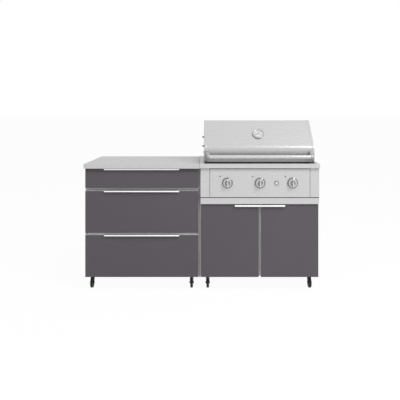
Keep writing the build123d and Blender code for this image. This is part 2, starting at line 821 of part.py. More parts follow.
# Thermometer on the sloping face, with its needle over the recessed dial, turned left to the cold end
dial_z = GAUGE_T - GAUGE_RECESS
with BuildPart() as thermometer:
    with BuildSketch(gauge_plane):
        Circle(GAUGE_R)
    extrude(amount=GAUGE_T)
    fillet(thermometer.faces().sort_by_distance(gauge_plane.offset(GAUGE_T).origin)[0].edges(), GAUGE_RIM / 3)
    with BuildSketch(gauge_plane.offset(GAUGE_T)):
        Circle(GAUGE_R - GAUGE_RIM)
    extrude(amount=-GAUGE_RECESS, mode=Mode.SUBTRACT)
    with BuildSketch(gauge_plane):
        Circle(GAUGE_STEM_R)
    extrude(amount=-GAUGE_STEM_L)
    with BuildSketch(gauge_plane.offset(dial_z)):
        Circle(NEEDLE_PIN_R + PIN_PLAY)
    extrude(amount=-NEEDLE_PIN_L - NEEDLE_GAP, mode=Mode.SUBTRACT)
save("hood_thermometer", thermometer.part)

with BuildPart() as needle:
    with BuildSketch(gauge_plane.offset(dial_z + NEEDLE_GAP)):
        Circle(NEEDLE_HUB_R)
        with Locations(Rotation(0, 0, NEEDLE_COLD)):
            with Locations((0, (NEEDLE_L - NEEDLE_TAIL) / 2)):
                Rectangle(NEEDLE_W, NEEDLE_L + NEEDLE_TAIL)
    extrude(amount=NEEDLE_T)
    with BuildSketch(gauge_plane.offset(dial_z + NEEDLE_GAP)):
        Circle(NEEDLE_PIN_R)
    extrude(amount=-NEEDLE_PIN_L)
save("thermometer_needle", needle.part)

# Grill top trim with the hood's hinge ears and pins
opening_front = hood_front + TRIM_LEDGE
opening_back = hood_back - TRIM_BACK_LEDGE
opening_w = hood_w - 2 * TRIM_LEDGE
opening_size = (opening_w, opening_back - opening_front)
opening_y = (opening_front + opening_back) / 2
with BuildPart() as grill_top_trim:
    add(sheet_top(grill_left, grill_right, trim_z, TRIM_LIP))
    with BuildSketch(Plane.XY.offset(trim_z)):
        with Locations((grill_x, opening_y)):
            Rectangle(*opening_size)
    extrude(amount=-TOP_SHEET, mode=Mode.SUBTRACT)
    for side, cheek in ((-1, hood_left), (1, hood_right)):
        ear_x = cheek - side * (HOOD_SHEET + EAR_GAP + EAR_T / 2)
        with BuildSketch(Plane.YZ.offset(ear_x - EAR_T / 2)):
            with Locations((hinge_y, hinge_z)):
                Circle(EAR_R)
            with Locations((hinge_y, (trim_z + hinge_z) / 2)):
                Rectangle(2 * EAR_R, hinge_z - trim_z)
        extrude(amount=EAR_T)
        head_x = cheek + side * HINGE_HEAD_GAP
        with BuildSketch(Plane.YZ.offset(ear_x)):
            with Locations((hinge_y, hinge_z)):
                Circle(HINGE_R)
        extrude(amount=head_x - ear_x)
        with BuildSketch(Plane.YZ.offset(head_x)):
            with Locations((hinge_y, hinge_z)):
                Circle(HINGE_HEAD_R)
        extrude(amount=side * HINGE_HEAD_T)
save("grill_top_trim", grill_top_trim.part)

# Firebox: an open tray under the trim with shelves for the grates and the flame tamers
firebox_top = trim_z - TOP_SHEET
firebox_front = body_front
firebox_back = hood_back - FIREBOX_BACK
firebox_y = (firebox_front + firebox_back) / 2
firebox_w = opening_w + 2 * FIREBOX_LAP
inside_w = firebox_w - 2 * TOP_SHEET
inside_front = firebox_front + TOP_SHEET
inside_back = firebox_back - TOP_SHEET
grate_front = opening_front + GRATE_GAP
grate_back = opening_back - GRATE_GAP
grate_z = trim_z - GRATE_DROP - GRATE_T
tamer_z = trim_z - TAMER_DROP
with BuildPart() as grill_firebox:
    firebox_floor = Plane.XY.offset(firebox_top - FIREBOX_H)
    firebox_size = (firebox_w, firebox_back - firebox_front)
    add(pan(firebox_floor, (grill_x, firebox_y), firebox_size, FIREBOX_H, TOP_SHEET))
    shelf_spans = [(inside_front, grate_front + SHELF_LAP), (grate_back - SHELF_LAP, inside_back)]
    for shelf_z in (grate_z, tamer_z):
        for shelf_start, shelf_end in shelf_spans:
            with Locations((grill_x, (shelf_start + shelf_end) / 2, shelf_z - SHELF_T / 2)):
                Box(inside_w, shelf_end - shelf_start, SHELF_T)
save("grill_firebox", grill_firebox.part)

# Cooking grates
grate_w = (opening_w - 4 * GRATE_GAP) / 3
grate_l = grate_back - grate_front
grate_pitch = GRATE_BAR + GRATE_SLOT
slot_count = int((grate_w - GRATE_BAR) // grate_pitch)
grates = []
for place in (-1, 0, 1):
    grate_x = grill_x + place * (grate_w + GRATE_GAP)
    with BuildPart() as grate:
        with BuildSketch(Plane.XY.offset(grate_z)):
            with Locations((grate_x, opening_y)):
                Rectangle(grate_w, grate_l)
                with GridLocations(grate_pitch, 0, slot_count, 1):
                    Rectangle(GRATE_SLOT, grate_l - 2 * GRATE_END, mode=Mode.SUBTRACT)
        extrude(amount=GRATE_T)
    grates.append(grate.part)
save("cooking_grates", *grates)

# Flame tamers: bent sheets over the burners
tamers = []
for tamer_x in knob_xs:
    with BuildPart() as tamer:
        with BuildSketch(front_plane(grate_front)):
            with BuildLine():
                Polyline(
                    (tamer_x - TAMER_W / 2, tamer_z),
                    (tamer_x, tamer_z + TAMER_H),
                    (tamer_x + TAMER_W / 2, tamer_z),
                    (tamer_x + TAMER_W / 2 - 2 * TAMER_SHEET, tamer_z),
                    (tamer_x, tamer_z + TAMER_H - TAMER_SHEET),
                    (tamer_x - TAMER_W / 2 + 2 * TAMER_SHEET, tamer_z),
                    close=True,
                )
            make_face()
        extrude(amount=-grate_l)
    tamers.append(tamer.part)
save("flame_tamers", *tamers)

# Burner tubes between the firebox walls, and the gas manifold with its valves behind the panel
burners = []
for burner_x in knob_xs:
    with BuildPart() as burner:
        with BuildSketch(front_plane(inside_front)):
            with Locations((burner_x, knob_z)):
                Circle(BURNER_R)
                Circle(BURNER_R - BURNER_WALL, mode=Mode.SUBTRACT)
        extrude(amount=inside_front - inside_back)
    burners.append(burner.part)
valve_front = panel_y + TOP_SHEET + VALVE_GAP
valve_back = firebox_front - VALVE_OUTLET
valve_y = (valve_front + valve_back) / 2
manifold_l = 2 * (knob_pitch + MANIFOLD_END)
with BuildPart() as manifold:
    with BuildSketch(Plane.YZ.offset(grill_x - manifold_l / 2)):
        with Locations((valve_y, knob_z - VALVE_H / 2)):
            Circle(MANIFOLD_R)
    extrude(amount=manifold_l)
    for valve_x in knob_xs:
        with Locations((valve_x, valve_y, knob_z)):
            Box(VALVE_W, valve_back - valve_front, VALVE_H)
        with BuildSketch(front_plane(firebox_front)):
            with Locations((valve_x, knob_z)):
                Circle(OUTLET_R)
        extrude(amount=VALVE_OUTLET)
        with BuildSketch(front_plane(valve_front)):
            with Locations((valve_x, knob_z)):
                Circle(STEM_R + PIN_PLAY)
        extrude(amount=valve_front - knob_back - STEM_L - VALVE_GAP, mode=Mode.SUBTRACT)
save("burners_and_manifold", *burners, manifold.part)

# Casters under the corners of both cabinets
caster_rows = [("front", body_front + CASTER_DEPTH_INSET), ("rear", body_back - CASTER_DEPTH_INSET)]
caster_columns = [
    ("drawer", "left", drawer_body_left + CASTER_INSET_END),
    ("drawer", "right", drawer_body_right - CASTER_INSET),
    ("grill", "left", grill_body_left + CASTER_INSET),
    ("grill", "right", grill_body_right - CASTER_INSET),
]
mountings = []
for row, caster_y in caster_rows:
    for cabinet, hand, caster_x in caster_columns:
        mountings.append(build_caster(f"{cabinet}_{row}_{hand}", caster_x, caster_y, -TRAIL))
save("caster_plates", *mountings)
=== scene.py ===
"""Looks of the modular outdoor kitchen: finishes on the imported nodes, and detailed pieces over the plain ones."""
import json
import logging
import math
from dataclasses import dataclass
from enum import Enum
from typing import Callable, Iterable, List, Optional, Sequence, Tuple, Union

import bmesh
import bpy
from mathutils import Matrix, Vector


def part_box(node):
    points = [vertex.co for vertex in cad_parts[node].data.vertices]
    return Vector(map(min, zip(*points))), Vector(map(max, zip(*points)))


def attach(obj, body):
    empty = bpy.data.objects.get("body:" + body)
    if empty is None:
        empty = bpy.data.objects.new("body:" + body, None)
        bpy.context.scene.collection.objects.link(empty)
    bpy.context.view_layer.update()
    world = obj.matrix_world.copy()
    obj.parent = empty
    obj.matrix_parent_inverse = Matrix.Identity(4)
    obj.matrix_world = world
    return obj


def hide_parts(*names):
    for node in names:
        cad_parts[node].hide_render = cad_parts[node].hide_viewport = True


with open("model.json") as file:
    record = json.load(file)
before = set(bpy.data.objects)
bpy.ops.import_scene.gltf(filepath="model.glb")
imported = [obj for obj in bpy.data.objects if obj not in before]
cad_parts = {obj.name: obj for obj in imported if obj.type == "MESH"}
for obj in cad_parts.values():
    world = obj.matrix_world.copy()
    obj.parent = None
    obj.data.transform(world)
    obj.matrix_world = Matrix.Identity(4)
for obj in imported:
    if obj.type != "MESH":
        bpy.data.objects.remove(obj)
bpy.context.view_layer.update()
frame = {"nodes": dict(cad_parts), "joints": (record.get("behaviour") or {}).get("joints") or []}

NODES = frame["nodes"]
JOINTS = {joint["name"]: joint for joint in frame["joints"]}
LOG = logging.getLogger("outdoor_kitchen")
MM = 0.001
HAIR = 1e-5  # metres; places closer than this count as one
BITE = 0.2 * MM  # how far trim goes into what it sits on
STRAIGHT = 0.9  # cosine; from here on a direction counts as lying along an axis
FULL_TURN = 2 * math.pi
FORWARD = (0.0, -1.0, 0.0)
RIGHTWARD = (1.0, 0.0, 0.0)

Point = Sequence[float]
Colour = Tuple[float, float, float]
Socket = bpy.types.NodeSocket
Test = Callable[[Vector, Vector], bool]


class Grain(Enum):
    """The way a sheet is brushed, as the stretch of its grain pattern along X, Y and Z."""

    ALONG_X = (0.012, 1.0, 1.0)
    ALONG_Y = (1.0, 0.012, 1.0)
    ALONG_Z = (1.0, 1.0, 0.012)


class Side(Enum):
    """The left or right hand of something, as a sign along X."""

    LEFT = -1
    RIGHT = 1


class DrawerPlace(Enum):
    """The three drawers, by the name their bodies and nodes carry."""

    TOP = "top"
    MIDDLE = "middle"
    BOTTOM = "bottom"


class KnobPlace(Enum):
    """The three burner knobs, by the name their bodies and nodes carry."""

    LEFT = "left"
    CENTRE = "centre"
    RIGHT = "right"


class CasterPlace(Enum):
    """The eight casters, by the name their bodies and nodes carry."""

    DRAWER_FRONT_LEFT = "drawer_front_left"
    DRAWER_FRONT_RIGHT = "drawer_front_right"
    DRAWER_REAR_LEFT = "drawer_rear_left"
    DRAWER_REAR_RIGHT = "drawer_rear_right"
    GRILL_FRONT_LEFT = "grill_front_left"
    GRILL_FRONT_RIGHT = "grill_front_right"
    GRILL_REAR_LEFT = "grill_rear_left"
    GRILL_REAR_RIGHT = "grill_rear_right"


class ShaderSheet:
    """Draws the nodes of one material round its main shader."""

    def __init__(self, material: bpy.types.Material) -> None:
        """Starts on a fresh material.

        Args:
            material: the material, with its nodes in use.
        """
        self.tree = material.node_tree
        self.shader = self.tree.nodes["Principled BSDF"]
        coordinates = self.add("ShaderNodeTexCoord").outputs
        self.place = coordinates["Object"]
        self.facing = coordinates["Normal"]

    def add(self, kind: str, **settings: object) -> bpy.types.Node:
        """Adds a node.

        Args:
            kind: the node's type name.
            settings: properties to set on it.

        Returns:
            The new node.
        """
        node = self.tree.nodes.new(kind)
        for name, value in settings.items():
            setattr(node, name, value)
        return node

    def link(self, source: Socket, target: Socket) -> None:
        """Joins an output to an input."""
        self.tree.links.new(source, target)

    def noise(self, scale: float, detail: float = 2.0, stretch: Point = (1.0, 1.0, 1.0)) -> Socket:
        """A cloudy pattern on the object's own coordinates.

        Args:
            scale: patches per metre.
            detail: finer layers on top.
            stretch: how much each axis counts, small for a pattern drawn out along it.

        Returns:
            The pattern's value, about a half on average.
        """
        mapping = self.add("ShaderNodeMapping")
        mapping.inputs["Scale"].default_value = stretch
        self.link(self.place, mapping.inputs["Vector"])
        pattern = self.add("ShaderNodeTexNoise")
        pattern.inputs["Scale"].default_value = scale
        pattern.inputs["Detail"].default_value = detail
        self.link(mapping.outputs["Vector"], pattern.inputs["Vector"])
        return pattern.outputs["Fac"]

    def part(self, vector: Socket, axis: str) -> Socket:
        """One part of a vector, by the name of its axis."""
        node = self.add("ShaderNodeSeparateXYZ")
        self.link(vector, node.inputs["Vector"])
        return node.outputs[axis]

    def math(self, operation: str, first: Socket, second: Union[Socket, float]) -> Socket:
        """Works out one sum.

        Args:
            operation: the name of the sum.
            first: its first value.
            second: its second value, or a number.

        Returns:
            The result.
        """
        node = self.add("ShaderNodeMath", operation=operation)
        self.link(first, node.inputs[0])
        if isinstance(second, Socket):
            self.link(second, node.inputs[1])
        else:
            node.inputs[1].default_value = second
        return node.outputs[0]

    def ramp(self, value: Socket, start: float, end: float, low: float, high: float) -> Socket:
        """Maps a value from one span to another, and keeps it there.

        Args:
            value: the value to map.
            start: where the first span starts.
            end: where the first span ends.
            low: where the second span starts.
            high: where the second span ends.

        Returns:
            The mapped value.
        """
        node = self.add("ShaderNodeMapRange")
        for name, number in (("From Min", start), ("From Max", end), ("To Min", low), ("To Max", high)):
            node.inputs[name].default_value = number
        self.link(value, node.inputs["Value"])
        return node.outputs["Result"]

    def span(self, pattern: Socket, low: float, high: float) -> Socket:
        """Maps a pattern's darker and lighter patches to the ends of a span."""
        return self.ramp(pattern, 0.3, 0.7, low, high)

    def roughen(self, pattern: Socket, middle: float, spread: float) -> None:
        """Lets a pattern vary the roughness.

        Args:
            pattern: the pattern.
            middle: the roughness between its darker and lighter patches.
            spread: how much rougher the lighter patches are.
        """
        self.link(self.span(pattern, middle - spread, middle + spread), self.shader.inputs["Roughness"])

    def blend(self, value: Socket, first: Union[Socket, Colour], second: Union[Socket, Colour]) -> Socket:
        """Blends two tones.

        Args:
            value: nought for the first tone and one for the second.
            first: the first tone.
            second: the second tone.

        Returns:
            The blended tone.
        """
        node = self.add("ShaderNodeMix", data_type="RGBA")
        tones = [socket for socket in node.inputs if socket.type == "RGBA"]
        for socket, tone in zip(tones, (first, second)):
            if isinstance(tone, Socket):
                self.link(tone, socket)
            else:
                socket.default_value = (*tone, 1.0)
        self.link(value, node.inputs["Factor"])
        return [socket for socket in node.outputs if socket.type == "RGBA"][0]

    def tint(self, value: Socket, dark: Union[Socket, Colour], light: Union[Socket, Colour]) -> None:
        """Colours the surface between two tones.

        Args:
            value: nought for the first tone and one for the second.
            dark: the first tone.
            light: the second tone.
        """
        self.link(self.blend(value, dark, light), self.shader.inputs["Base Color"])

    def relief(self, height: Socket, depth: float, edge_radius: float) -> None:
        """Gives the surface a fine relief and softened edges.

        Args:
            height: the pattern of the relief.
            depth: how deep it goes, in metres.
            edge_radius: how far sharp edges are softened, in metres.
        """
        soft_edge = self.add("ShaderNodeBevel", samples=4)
        soft_edge.inputs["Radius"].default_value = edge_radius
        bump = self.add("ShaderNodeBump")
        bump.inputs["Strength"].default_value = 1.0
        bump.inputs["Distance"].default_value = depth
        self.link(height, bump.inputs["Height"])
        self.link(soft_edge.outputs["Normal"], bump.inputs["Normal"])
        self.link(bump.outputs["Normal"], self.shader.inputs["Normal"])


def shaded(colour: Colour, factor: float) -> Colour:
    """A colour made darker or lighter.

    Args:
        colour: the colour to start from.
        factor: what each part is multiplied by.

    Returns:
        The new colour.
    """
    return tuple(min(1.0, part * factor) for part in colour)


def grey(level: float) -> Colour:
    """A colour without any tint."""
    return (level, level, level)


@dataclass(frozen=True)
class Finish:
    """A surface finish; each kind draws its own nodes.

    Attributes:
        name: the material's name.
        colour: its middle tone, linear.
        roughness: its middle roughness.
        edge_radius: how far its edges are softened, in metres.
    """

    name: str
    colour: Colour
    roughness: float = 0.4
    edge_radius: float = 0.6 * MM

    def material(self) -> bpy.types.Material:
        """The finish's material, made the first time it is asked for."""
        material = bpy.data.materials.get(self.name)
        if material is None:
            material = bpy.data.materials.new(self.name)
            material.use_nodes = True
            sheet = ShaderSheet(material)
            sheet.shader.inputs["Roughness"].default_value = self.roughness
            self.draw(sheet)
        return material

    def draw(self, sheet: ShaderSheet) -> None:
        """Draws the finish's nodes.

        Args:
            sheet: the material's sheet.
        """
        raise NotImplementedError

    def on(self, *nodes: str) -> None:
        """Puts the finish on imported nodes.

        Args:
            nodes: their names.
        """
        for name in nodes:
            slots = NODES[name].data.materials
            slots.clear()
            slots.append(self.material())
            LOG.info("%s finished in %s", name, self.name)


@dataclass(frozen=True)
class PowderCoat(Finish):
    """A baked powder coat: an even colour with a fine orange-peel skin.

    Attributes:
        peel_scale: bumps of the skin per metre.
        peel_depth: their depth, in metres.
        gloss: the coat's specular level.
    """

    peel_scale: float = 420.0
    peel_depth: float = 0.02 * MM
    gloss: float = 0.3

    def coat(self, sheet: ShaderSheet) -> Socket:
        """The coat's slightly uneven colour."""
        cloud = sheet.span(sheet.noise(3.0, 4.0), 0.0, 1.0)
        return sheet.blend(cloud, shaded(self.colour, 0.97), shaded(self.colour, 1.03))

    def draw(self, sheet: ShaderSheet) -> None:
        """Draws the coat.

        Args:
            sheet: the material's sheet.
        """
        sheet.shader.inputs["Specular IOR Level"].default_value = self.gloss
        sheet.link(self.coat(sheet), sheet.shader.inputs["Base Color"])
        peel = sheet.noise(self.peel_scale, 1.0)
        sheet.roughen(peel, self.roughness, 0.04)
        sheet.relief(peel, self.peel_depth, self.edge_radius)


@dataclass(frozen=True)
class CoatedPanel(PowderCoat):
    """A folded aluminium panel, coated on its front and back, with its edges painted pale: painted light for the gaps
    between the fronts.

    Attributes:
        bare: the pale tone painted on the edges.
        bare_roughness: their roughness.
        bare_sheen: how much of their light is mirrored.
        turn: how far a surface may turn from the front before it counts as an edge, as a cosine.
    """

    bare: Colour = grey(0.9)
    bare_roughness: float = 0.38
    bare_sheen: float = 0.3
    turn: float = 0.7

    def coated(self, sheet: ShaderSheet) -> Socket:
        """One where the panel is coated, and nought on its pale painted edges."""
        across = sheet.part(sheet.facing, "Y")
        return sheet.math("GREATER_THAN", sheet.math("MULTIPLY", across, across), self.turn ** 2)

    def coat(self, sheet: ShaderSheet) -> Socket:
        """The coat's colour, and the pale painted tone on the edges."""
        return sheet.blend(self.coated(sheet), self.bare, super().coat(sheet))

    def draw(self, sheet: ShaderSheet) -> None:
        """Draws the coat and the pale painted edges.

        Args:
            sheet: the material's sheet.
        """
        super().draw(sheet)
        coated, inputs = self.coated(sheet), sheet.shader.inputs
        sheet.link(sheet.ramp(coated, 0.0, 1.0, self.bare_sheen, 0.0), inputs["Metallic"])
        sheet.link(sheet.ramp(coated, 0.0, 1.0, self.bare_roughness, self.roughness), inputs["Roughness"])


@dataclass(frozen=True)
class BrushedSteel(Finish):
    """Brushed sheet metal: bright, with long fine scratches one way.

    Attributes:
        grain: which way it is brushed.
        grain_scale: scratches per metre across the grain.
        grain_depth: their depth, in metres.
        contrast: how far the scratches differ in tone.
        glance: how much of its mirrored light is left where it is seen almost edge on.
        sheen: how much of its light is mirrored; a fine blasted or brushed skin scatters the rest.
    """

    grain: Grain = Grain.ALONG_X
    grain_scale: float = 900.0
    grain_depth: float = 0.004 * MM
    contrast: float = 0.025
    glance: float = 0.75
    sheen: float = 0.55

    def tone(self, sheet: ShaderSheet, scratches: Socket) -> Socket:
        """The metal's colour.

        Args:
            sheet: the material's sheet.
            scratches: the pattern of the scratches.

        Returns:
            The colour.
        """
        dark = shaded(self.colour, 1.0 - self.contrast)
        light = shaded(self.colour, 1.0 + self.contrast)
        return sheet.blend(sheet.span(scratches, 0.0, 1.0), dark, light)

    def draw(self, sheet: ShaderSheet) -> None:
        """Draws the metal and its scratches.

        Args:
            sheet: the material's sheet.
        """
        sheet.shader.inputs["Metallic"].default_value = self.sheen
        sheet.shader.inputs["Specular Tint"].default_value = (*grey(self.glance), 1.0)
        scratches = sheet.noise(self.grain_scale, 3.0, self.grain.value)
        sheet.link(self.tone(sheet, scratches), sheet.shader.inputs["Base Color"])
        sheet.roughen(scratches, self.roughness, -0.06)
        sheet.relief(scratches, self.grain_depth, self.edge_radius)


@dataclass(frozen=True)
class HoodSteel(BrushedSteel):
    """Brushed steel with painted shade along the lower part of its front.

    Attributes:
        dark: how much of the tone is left where it is darkest.
        foot: how much of the tone is left at the foot of the front.
        edge: how high above the hood's lower edge the foot ends.
        low: the height above that edge at which it is darkest.
        high: the height above that edge from which it is plain.
        reach: how far back from the front the darkening goes.
    """

    dark: float = 0.5
    foot: float = 0.6
    edge: float = 23.0 * MM
    low: float = 54.0 * MM
    high: float = 84.0 * MM
    reach: float = 30.0 * MM

    def tone(self, sheet: ShaderSheet, scratches: Socket) -> Socket:
        """The metal's colour, with painted shade along the lower front.

        Args:
            sheet: the material's sheet.
            scratches: the pattern of the scratches.

        Returns:
            The colour.
        """
        _, front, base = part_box("hood_shell")[0]
        # Painted shade: plain from 84 mm above the lower edge, darkest at 54 mm, a little lighter again towards the
        # foot.
        height = sheet.part(sheet.place, "Z")
        upward = sheet.ramp(height, base + self.low, base + self.high, self.dark, 1.0)
        downward = sheet.ramp(height, base + self.edge, base + self.low, self.foot, self.dark)
        inward = sheet.ramp(sheet.part(sheet.place, "Y"), front, front + self.reach, 0.0, 1.0)
        share = sheet.math("MAXIMUM", sheet.math("MAXIMUM", upward, downward), inward)
        return sheet.blend(share, (0.0, 0.0, 0.0), super().tone(sheet, scratches))


@dataclass(frozen=True)
class GradedSteel(BrushedSteel):
    """Brushed steel with painted shade that grows along one axis.

    Attributes:
        axis: the name of the axis.
        start: where the painted shade starts, in metres.
        end: where it is full, in metres.
        dull: how much of the tone is left where the painted shade is full.
        upper: whether only surfaces that face up get the painted shade.
    """

    axis: str = "X"
    start: float = 0.0
    end: float = 1.0
    dull: float = 0.7
    upper: bool = True

    def tone(self, sheet: ShaderSheet, scratches: Socket) -> Socket:
        """The metal's colour, with painted shade along the axis.

        Args:
            sheet: the material's sheet.
            scratches: the pattern of the scratches.

        Returns:
            The colour.
        """
        near = sheet.ramp(sheet.part(sheet.place, self.axis), self.start, self.end, 0.0, 1.0)
        if self.upper:
            near = sheet.math("MULTIPLY", near, sheet.math("GREATER_THAN", sheet.part(sheet.facing, "Z"), 0.7))
        # Painted shade: the tone is scaled down along the axis.
        share = sheet.ramp(near, 0.0, 1.0, 1.0, self.dull)
        return sheet.blend(share, (0.0, 0.0, 0.0), super().tone(sheet, scratches))


@dataclass(frozen=True)
class CastIron(Finish):
    """Seasoned cast iron: near black, with a sandy skin and an oily sheen in patches."""

    def draw(self, sheet: ShaderSheet) -> None:
        """Draws the iron.

        Args:
            sheet: the material's sheet.
        """
        sand = sheet.noise(700.0, 3.0)
        oil = sheet.noise(28.0, 2.0)
        sheet.tint(sheet.span(sand, 0.0, 1.0), shaded(self.colour, 0.7), shaded(self.colour, 1.4))
        sheet.roughen(oil, self.roughness, 0.12)
        sheet.relief(sand, 0.12 * MM, self.edge_radius)


@dataclass(frozen=True)
class HeatedSteel(Finish):
    """Stainless that heat has dulled: straw and blue tints in patches, half matt.

    Attributes:
        straw: the tint of the warmer patches.
    """

    straw: Colour = (0.42, 0.31, 0.19)

    def draw(self, sheet: ShaderSheet) -> None:
        """Draws the tinted metal.

        Args:
            sheet: the material's sheet.
        """
        sheet.shader.inputs["Metallic"].default_value = 1.0
        heat = sheet.noise(9.0, 4.0)
        sheet.tint(sheet.span(heat, 0.0, 0.45), self.colour, self.straw)
        scale = sheet.noise(260.0, 3.0)
        sheet.roughen(scale, self.roughness, 0.1)
        sheet.relief(scale, 0.03 * MM, self.edge_radius)


@dataclass(frozen=True)
class Rubber(Finish):
    """Black moulded rubber or plastic: matt, finely pebbled, with dust in its hollows.

    Attributes:
        dust: the tint of the dustier patches.
    """

    dust: Colour = (0.03, 0.029, 0.028)

    def draw(self, sheet: ShaderSheet) -> None:
        """Draws the rubber.

        Args:
            sheet: the material's sheet.
        """
        sheet.shader.inputs["Specular IOR Level"].default_value = 0.3
        pebble = sheet.noise(1500.0, 1.0)
        sheet.tint(sheet.span(sheet.noise(60.0, 3.0), 0.0, 0.5), self.colour, self.dust)
        sheet.roughen(pebble, self.roughness, 0.06)
        sheet.relief(pebble, 0.02 * MM, self.edge_radius)


@dataclass(frozen=True)
class Enamel(Finish):
    """A smooth printed or stoved enamel, very slightly uneven."""

    def draw(self, sheet: ShaderSheet) -> None:
        """Draws the enamel.

        Args:
            sheet: the material's sheet.
        """
        cloud = sheet.noise(180.0, 2.0)
        sheet.tint(sheet.span(cloud, 0.0, 1.0), shaded(self.colour, 0.96), shaded(self.colour, 1.04))
        sheet.relief(cloud, 0.01 * MM, self.edge_radius)


@dataclass(frozen=True)
class ClearGlass(Finish):
    """The thermometer's thin window: clear, with a faint smear in its gloss.

    Attributes:
        cover: how much of what lies behind it hides.
    """

    cover: float = 0.1

    def draw(self, sheet: ShaderSheet) -> None:
        """Draws the glass.

        Args:
            sheet: the material's sheet.
        """
        sheet.shader.inputs["Alpha"].default_value = self.cover
        smear = sheet.noise(45.0, 3.0)
        sheet.tint(sheet.span(smear, 0.0, 1.0), shaded(self.colour, 0.97), self.colour)
        sheet.roughen(smear, self.roughness + 0.025, 0.025)


class Workpiece:
    """A mesh modelled with operators: a primitive or a drawn line, edit steps, then modifiers and a finish."""

    def __init__(self, name: str) -> None:
        """Takes over the object that an operator has just added.

        Args:
            name: what the piece is called.
        """
        self.piece = bpy.context.active_object
        self.piece.name = name
        self.piece.data.name = name
        bpy.ops.object.transform_apply(location=True, rotation=True, scale=True)

    @classmethod
    def block(cls, name: str, low: Point, high: Point) -> "Workpiece":
        """Starts from a cube drawn out between two corners.

        Args:
            name: what the piece is called.
            low: its lowest corner.
            high: its highest corner.

        Returns:
            The new workpiece.
        """
        low, high = Vector(low), Vector(high)
        bpy.ops.object.select_all(action="DESELECT")
        bpy.ops.mesh.primitive_cube_add(size=1.0, location=(low + high) / 2, scale=high - low)
        return cls(name)

    @classmethod
    def line(cls, name: str, points: Sequence[Point]) -> "Workpiece":
        """Starts from one corner that is drawn out from point to point.

        Args:
            name: what the piece is called.
            points: the places that the line passes, in order.

        Returns:
            The new workpiece.
        """
        route = [Vector(point) for point in points]
        bpy.ops.object.select_all(action="DESELECT")
        bpy.ops.mesh.primitive_plane_add(size=MM, location=route[0])
        work = cls(name)
        work.open()
        bpy.ops.mesh.select_all(action="SELECT")
        bpy.ops.mesh.merge(type="CENTER")
        for here, there in zip(route, route[1:]):
            bpy.ops.mesh.extrude_vertices_move(TRANSFORM_OT_translate={"value": there - here})
        work.close()
        return work

    @classmethod
    def prism(cls, name: str, outline: Sequence[Point], sweep: Point) -> "Workpiece":
        """Fills an outline and draws it out.

        Args:
            name: what the piece is called.
            outline: the outline's corners, in order.
            sweep: how far and which way it is drawn out.

        Returns:
            The new workpiece.
        """
        work = cls.line(name, outline)
        work.open()
        bpy.ops.mesh.select_all(action="SELECT")
        bpy.ops.mesh.edge_face_add()
        bpy.ops.mesh.extrude_region_move(TRANSFORM_OT_translate={"value": Vector(sweep)})
        work.close(mend=True)
        return work

    @classmethod
    def along_x(cls, name: str, section: Sequence[Tuple[float, float]], start: float, end: float) -> "Workpiece":
        """Fills a section and draws it out along X.

        Args:
            name: what the piece is called.
            section: the section's corners along Y and Z, in order.
            start: where the piece starts.
            end: where it ends.

        Returns:
            The new workpiece.
        """
        return cls.prism(name, [(start, y, z) for y, z in section], (end - start, 0.0, 0.0))

    @classmethod
    def turned(
        cls, name: str, profile: Sequence[Tuple[float, float]], centre: Point = (0.0, 0.0, 0.0),
        axis: Point = (0.0, 0.0, 1.0), steps: int = 48,
    ) -> "Workpiece":
        """Spins a profile about an axis, as on a lathe.

        Args:
            name: what the piece is called.
            profile: radius and height of each corner, in order.
            centre: the point on the axis that heights start from.
            axis: which way heights go.
            steps: how many facets go round.

        Returns:
            The new workpiece.
        """
        along = Vector(axis).normalized()
        across = along.orthogonal().normalized()
        work = cls.line(name, [Vector(centre) + across * radius + along * height for radius, height in profile])
        work.open()
        bpy.ops.mesh.select_all(action="SELECT")
        bpy.ops.mesh.spin(steps=steps, angle=FULL_TURN, center=centre, axis=along)
        work.close(mend=True)
        return work

    def focus(self) -> None:
        """Selects this piece alone and makes it the active one."""
        bpy.ops.object.select_all(action="DESELECT")
        self.piece.select_set(True)
        bpy.context.view_layer.objects.active = self.piece

    def open(self) -> None:
        """Enters edit mode on this piece alone."""
        self.focus()
        bpy.ops.object.mode_set(mode="EDIT")
        bpy.ops.mesh.select_mode(type="VERT")

    def close(self, mend: bool = False) -> None:
        """Leaves edit mode.

        Args:
            mend: whether doubled corners are merged and the faces turned outwards first.
        """
        if mend:
            bpy.ops.mesh.select_all(action="SELECT")
            bpy.ops.mesh.remove_doubles(threshold=HAIR)
            bpy.ops.mesh.normals_make_consistent(inside=False)
        bpy.ops.object.mode_set(mode="OBJECT")

    def pick(self, test: Test, edges: bool = False) -> None:
        """Selects faces or edges by their place and direction, in edit mode.

        Args:
            test: takes the middle and the normal of a face, or the middle and the direction of an edge.
            edges: whether edges are picked rather than faces.
        """
        bpy.ops.mesh.select_mode(type="EDGE" if edges else "FACE")
        bpy.ops.mesh.select_all(action="DESELECT")
        mesh = bmesh.from_edit_mesh(self.piece.data)
        if edges:
            for edge in mesh.edges:
                start, end = (corner.co for corner in edge.verts)
                edge.select_set(test((start + end) / 2, (end - start).normalized()))
        else:
            for face in mesh.faces:
                face.select_set(test(face.calc_center_median(), face.normal))
        bmesh.update_edit_mesh(self.piece.data)

    def inset(self, test: Test, margin: float, depth: float = 0.0) -> "Workpiece":
        """Insets the faces that pass a test.

        Args:
            test: which faces.
            margin: how far the new edge lies inside the old one.
            depth: how far the inner face moves out.

        Returns:
            The workpiece itself.
        """
        self.open()
        self.pick(test)
        bpy.ops.mesh.inset(thickness=margin, depth=depth)
        self.close()
        return self

    def taper(self, test: Test, factors: Point) -> "Workpiece":
        """Scales the faces that pass a test about their own middle.

        Args:
            test: which faces.
            factors: the scale along X, Y and Z.

        Returns:
            The workpiece itself.
        """
        self.open()
        self.pick(test)
        mesh = bmesh.from_edit_mesh(self.piece.data)
        corners = [corner.co for corner in mesh.verts if corner.select]
        middle = sum(corners, Vector()) / len(corners)
        bpy.ops.transform.resize(value=factors, center_override=middle)
        self.close()
        return self

